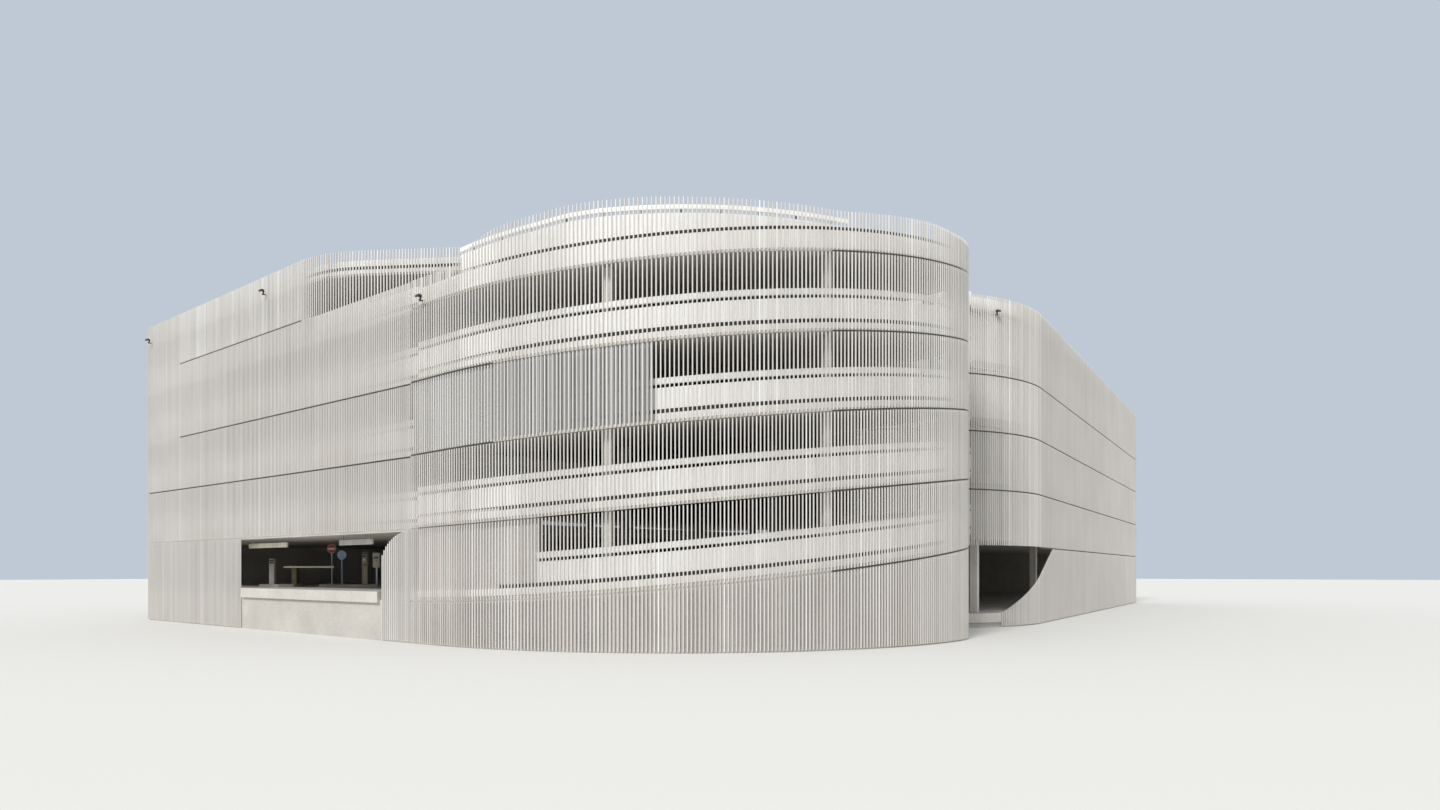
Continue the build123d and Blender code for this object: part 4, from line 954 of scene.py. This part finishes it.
# Pale floor, which isn't part of the object
FLOOR = 160
floor = bpy.data.meshes.new("stage_floor")
floor.from_pydata([(-FLOOR, -FLOOR, 0), (FLOOR, -FLOOR, 0), (FLOOR, FLOOR, 0), (-FLOOR, FLOOR, 0)], [],
                  [[0, 1, 2, 3]])
floor.materials.append(material("studio_floor", "#D9D8D4", 0.9)[0])
stage = bpy.data.objects.new("stage_floor", floor)
scene.collection.objects.link(stage)

# Light: a pale sky all round, another tone of it where it is seen, and a broad soft key
world = bpy.data.worlds.new("studio")
scene.world = world
world.use_nodes = True
sky = world.node_tree
ambient = sky.nodes["Background"]
ambient.inputs["Color"].default_value = rgb("#E9EBEE")
ambient.inputs["Strength"].default_value = 1.02
seen = node(sky, "ShaderNodeBackground", {"Color": rgb("#BFC9D6"), "Strength": 1.0})
path = node(sky, "ShaderNodeLightPath").outputs
through = node(sky, "ShaderNodeMath", {0: path["Is Camera Ray"], 1: path["Is Transmission Ray"]},
               operation="MAXIMUM")
direct = node(sky, "ShaderNodeMath", {0: through.outputs[0], 1: path["Is Glossy Ray"]}, operation="MAXIMUM")
mixed = node(sky, "ShaderNodeMixShader", {0: direct.outputs[0], 1: ambient.outputs[0], 2: seen.outputs[0]})
sky.links.new(mixed.outputs[0], sky.nodes["World Output"].inputs["Surface"])

key_data = bpy.data.lights.new("key", "SUN")
key_data.energy = 2.2
key_data.angle = radians(14.0)
key_data.color = (1.0, 0.985, 0.96)
key = bpy.data.objects.new("key", key_data)
scene.collection.objects.link(key)
azimuth, elevation = radians(-84.0), radians(38.0)
towards = Vector((cos(azimuth) * cos(elevation), sin(azimuth) * cos(elevation), sin(elevation)))
key.rotation_euler = towards.to_track_quat("Z", "Y").to_euler()

# Camera at the photo's place and angle
cam_data = bpy.data.cameras.new("camera")
cam_data.sensor_width = 36.0
cam_data.lens = 24.0
cam_data.shift_y = 0.115
cam_data.clip_end = 600.0
cam = bpy.data.objects.new("camera", cam_data)
scene.collection.objects.link(cam)
cam.location = (17.835, -31.0, 1.5)
cam.rotation_euler = Vector((0.505, -0.863, 0.0)).to_track_quat("Z", "Y").to_euler()
scene.camera = cam
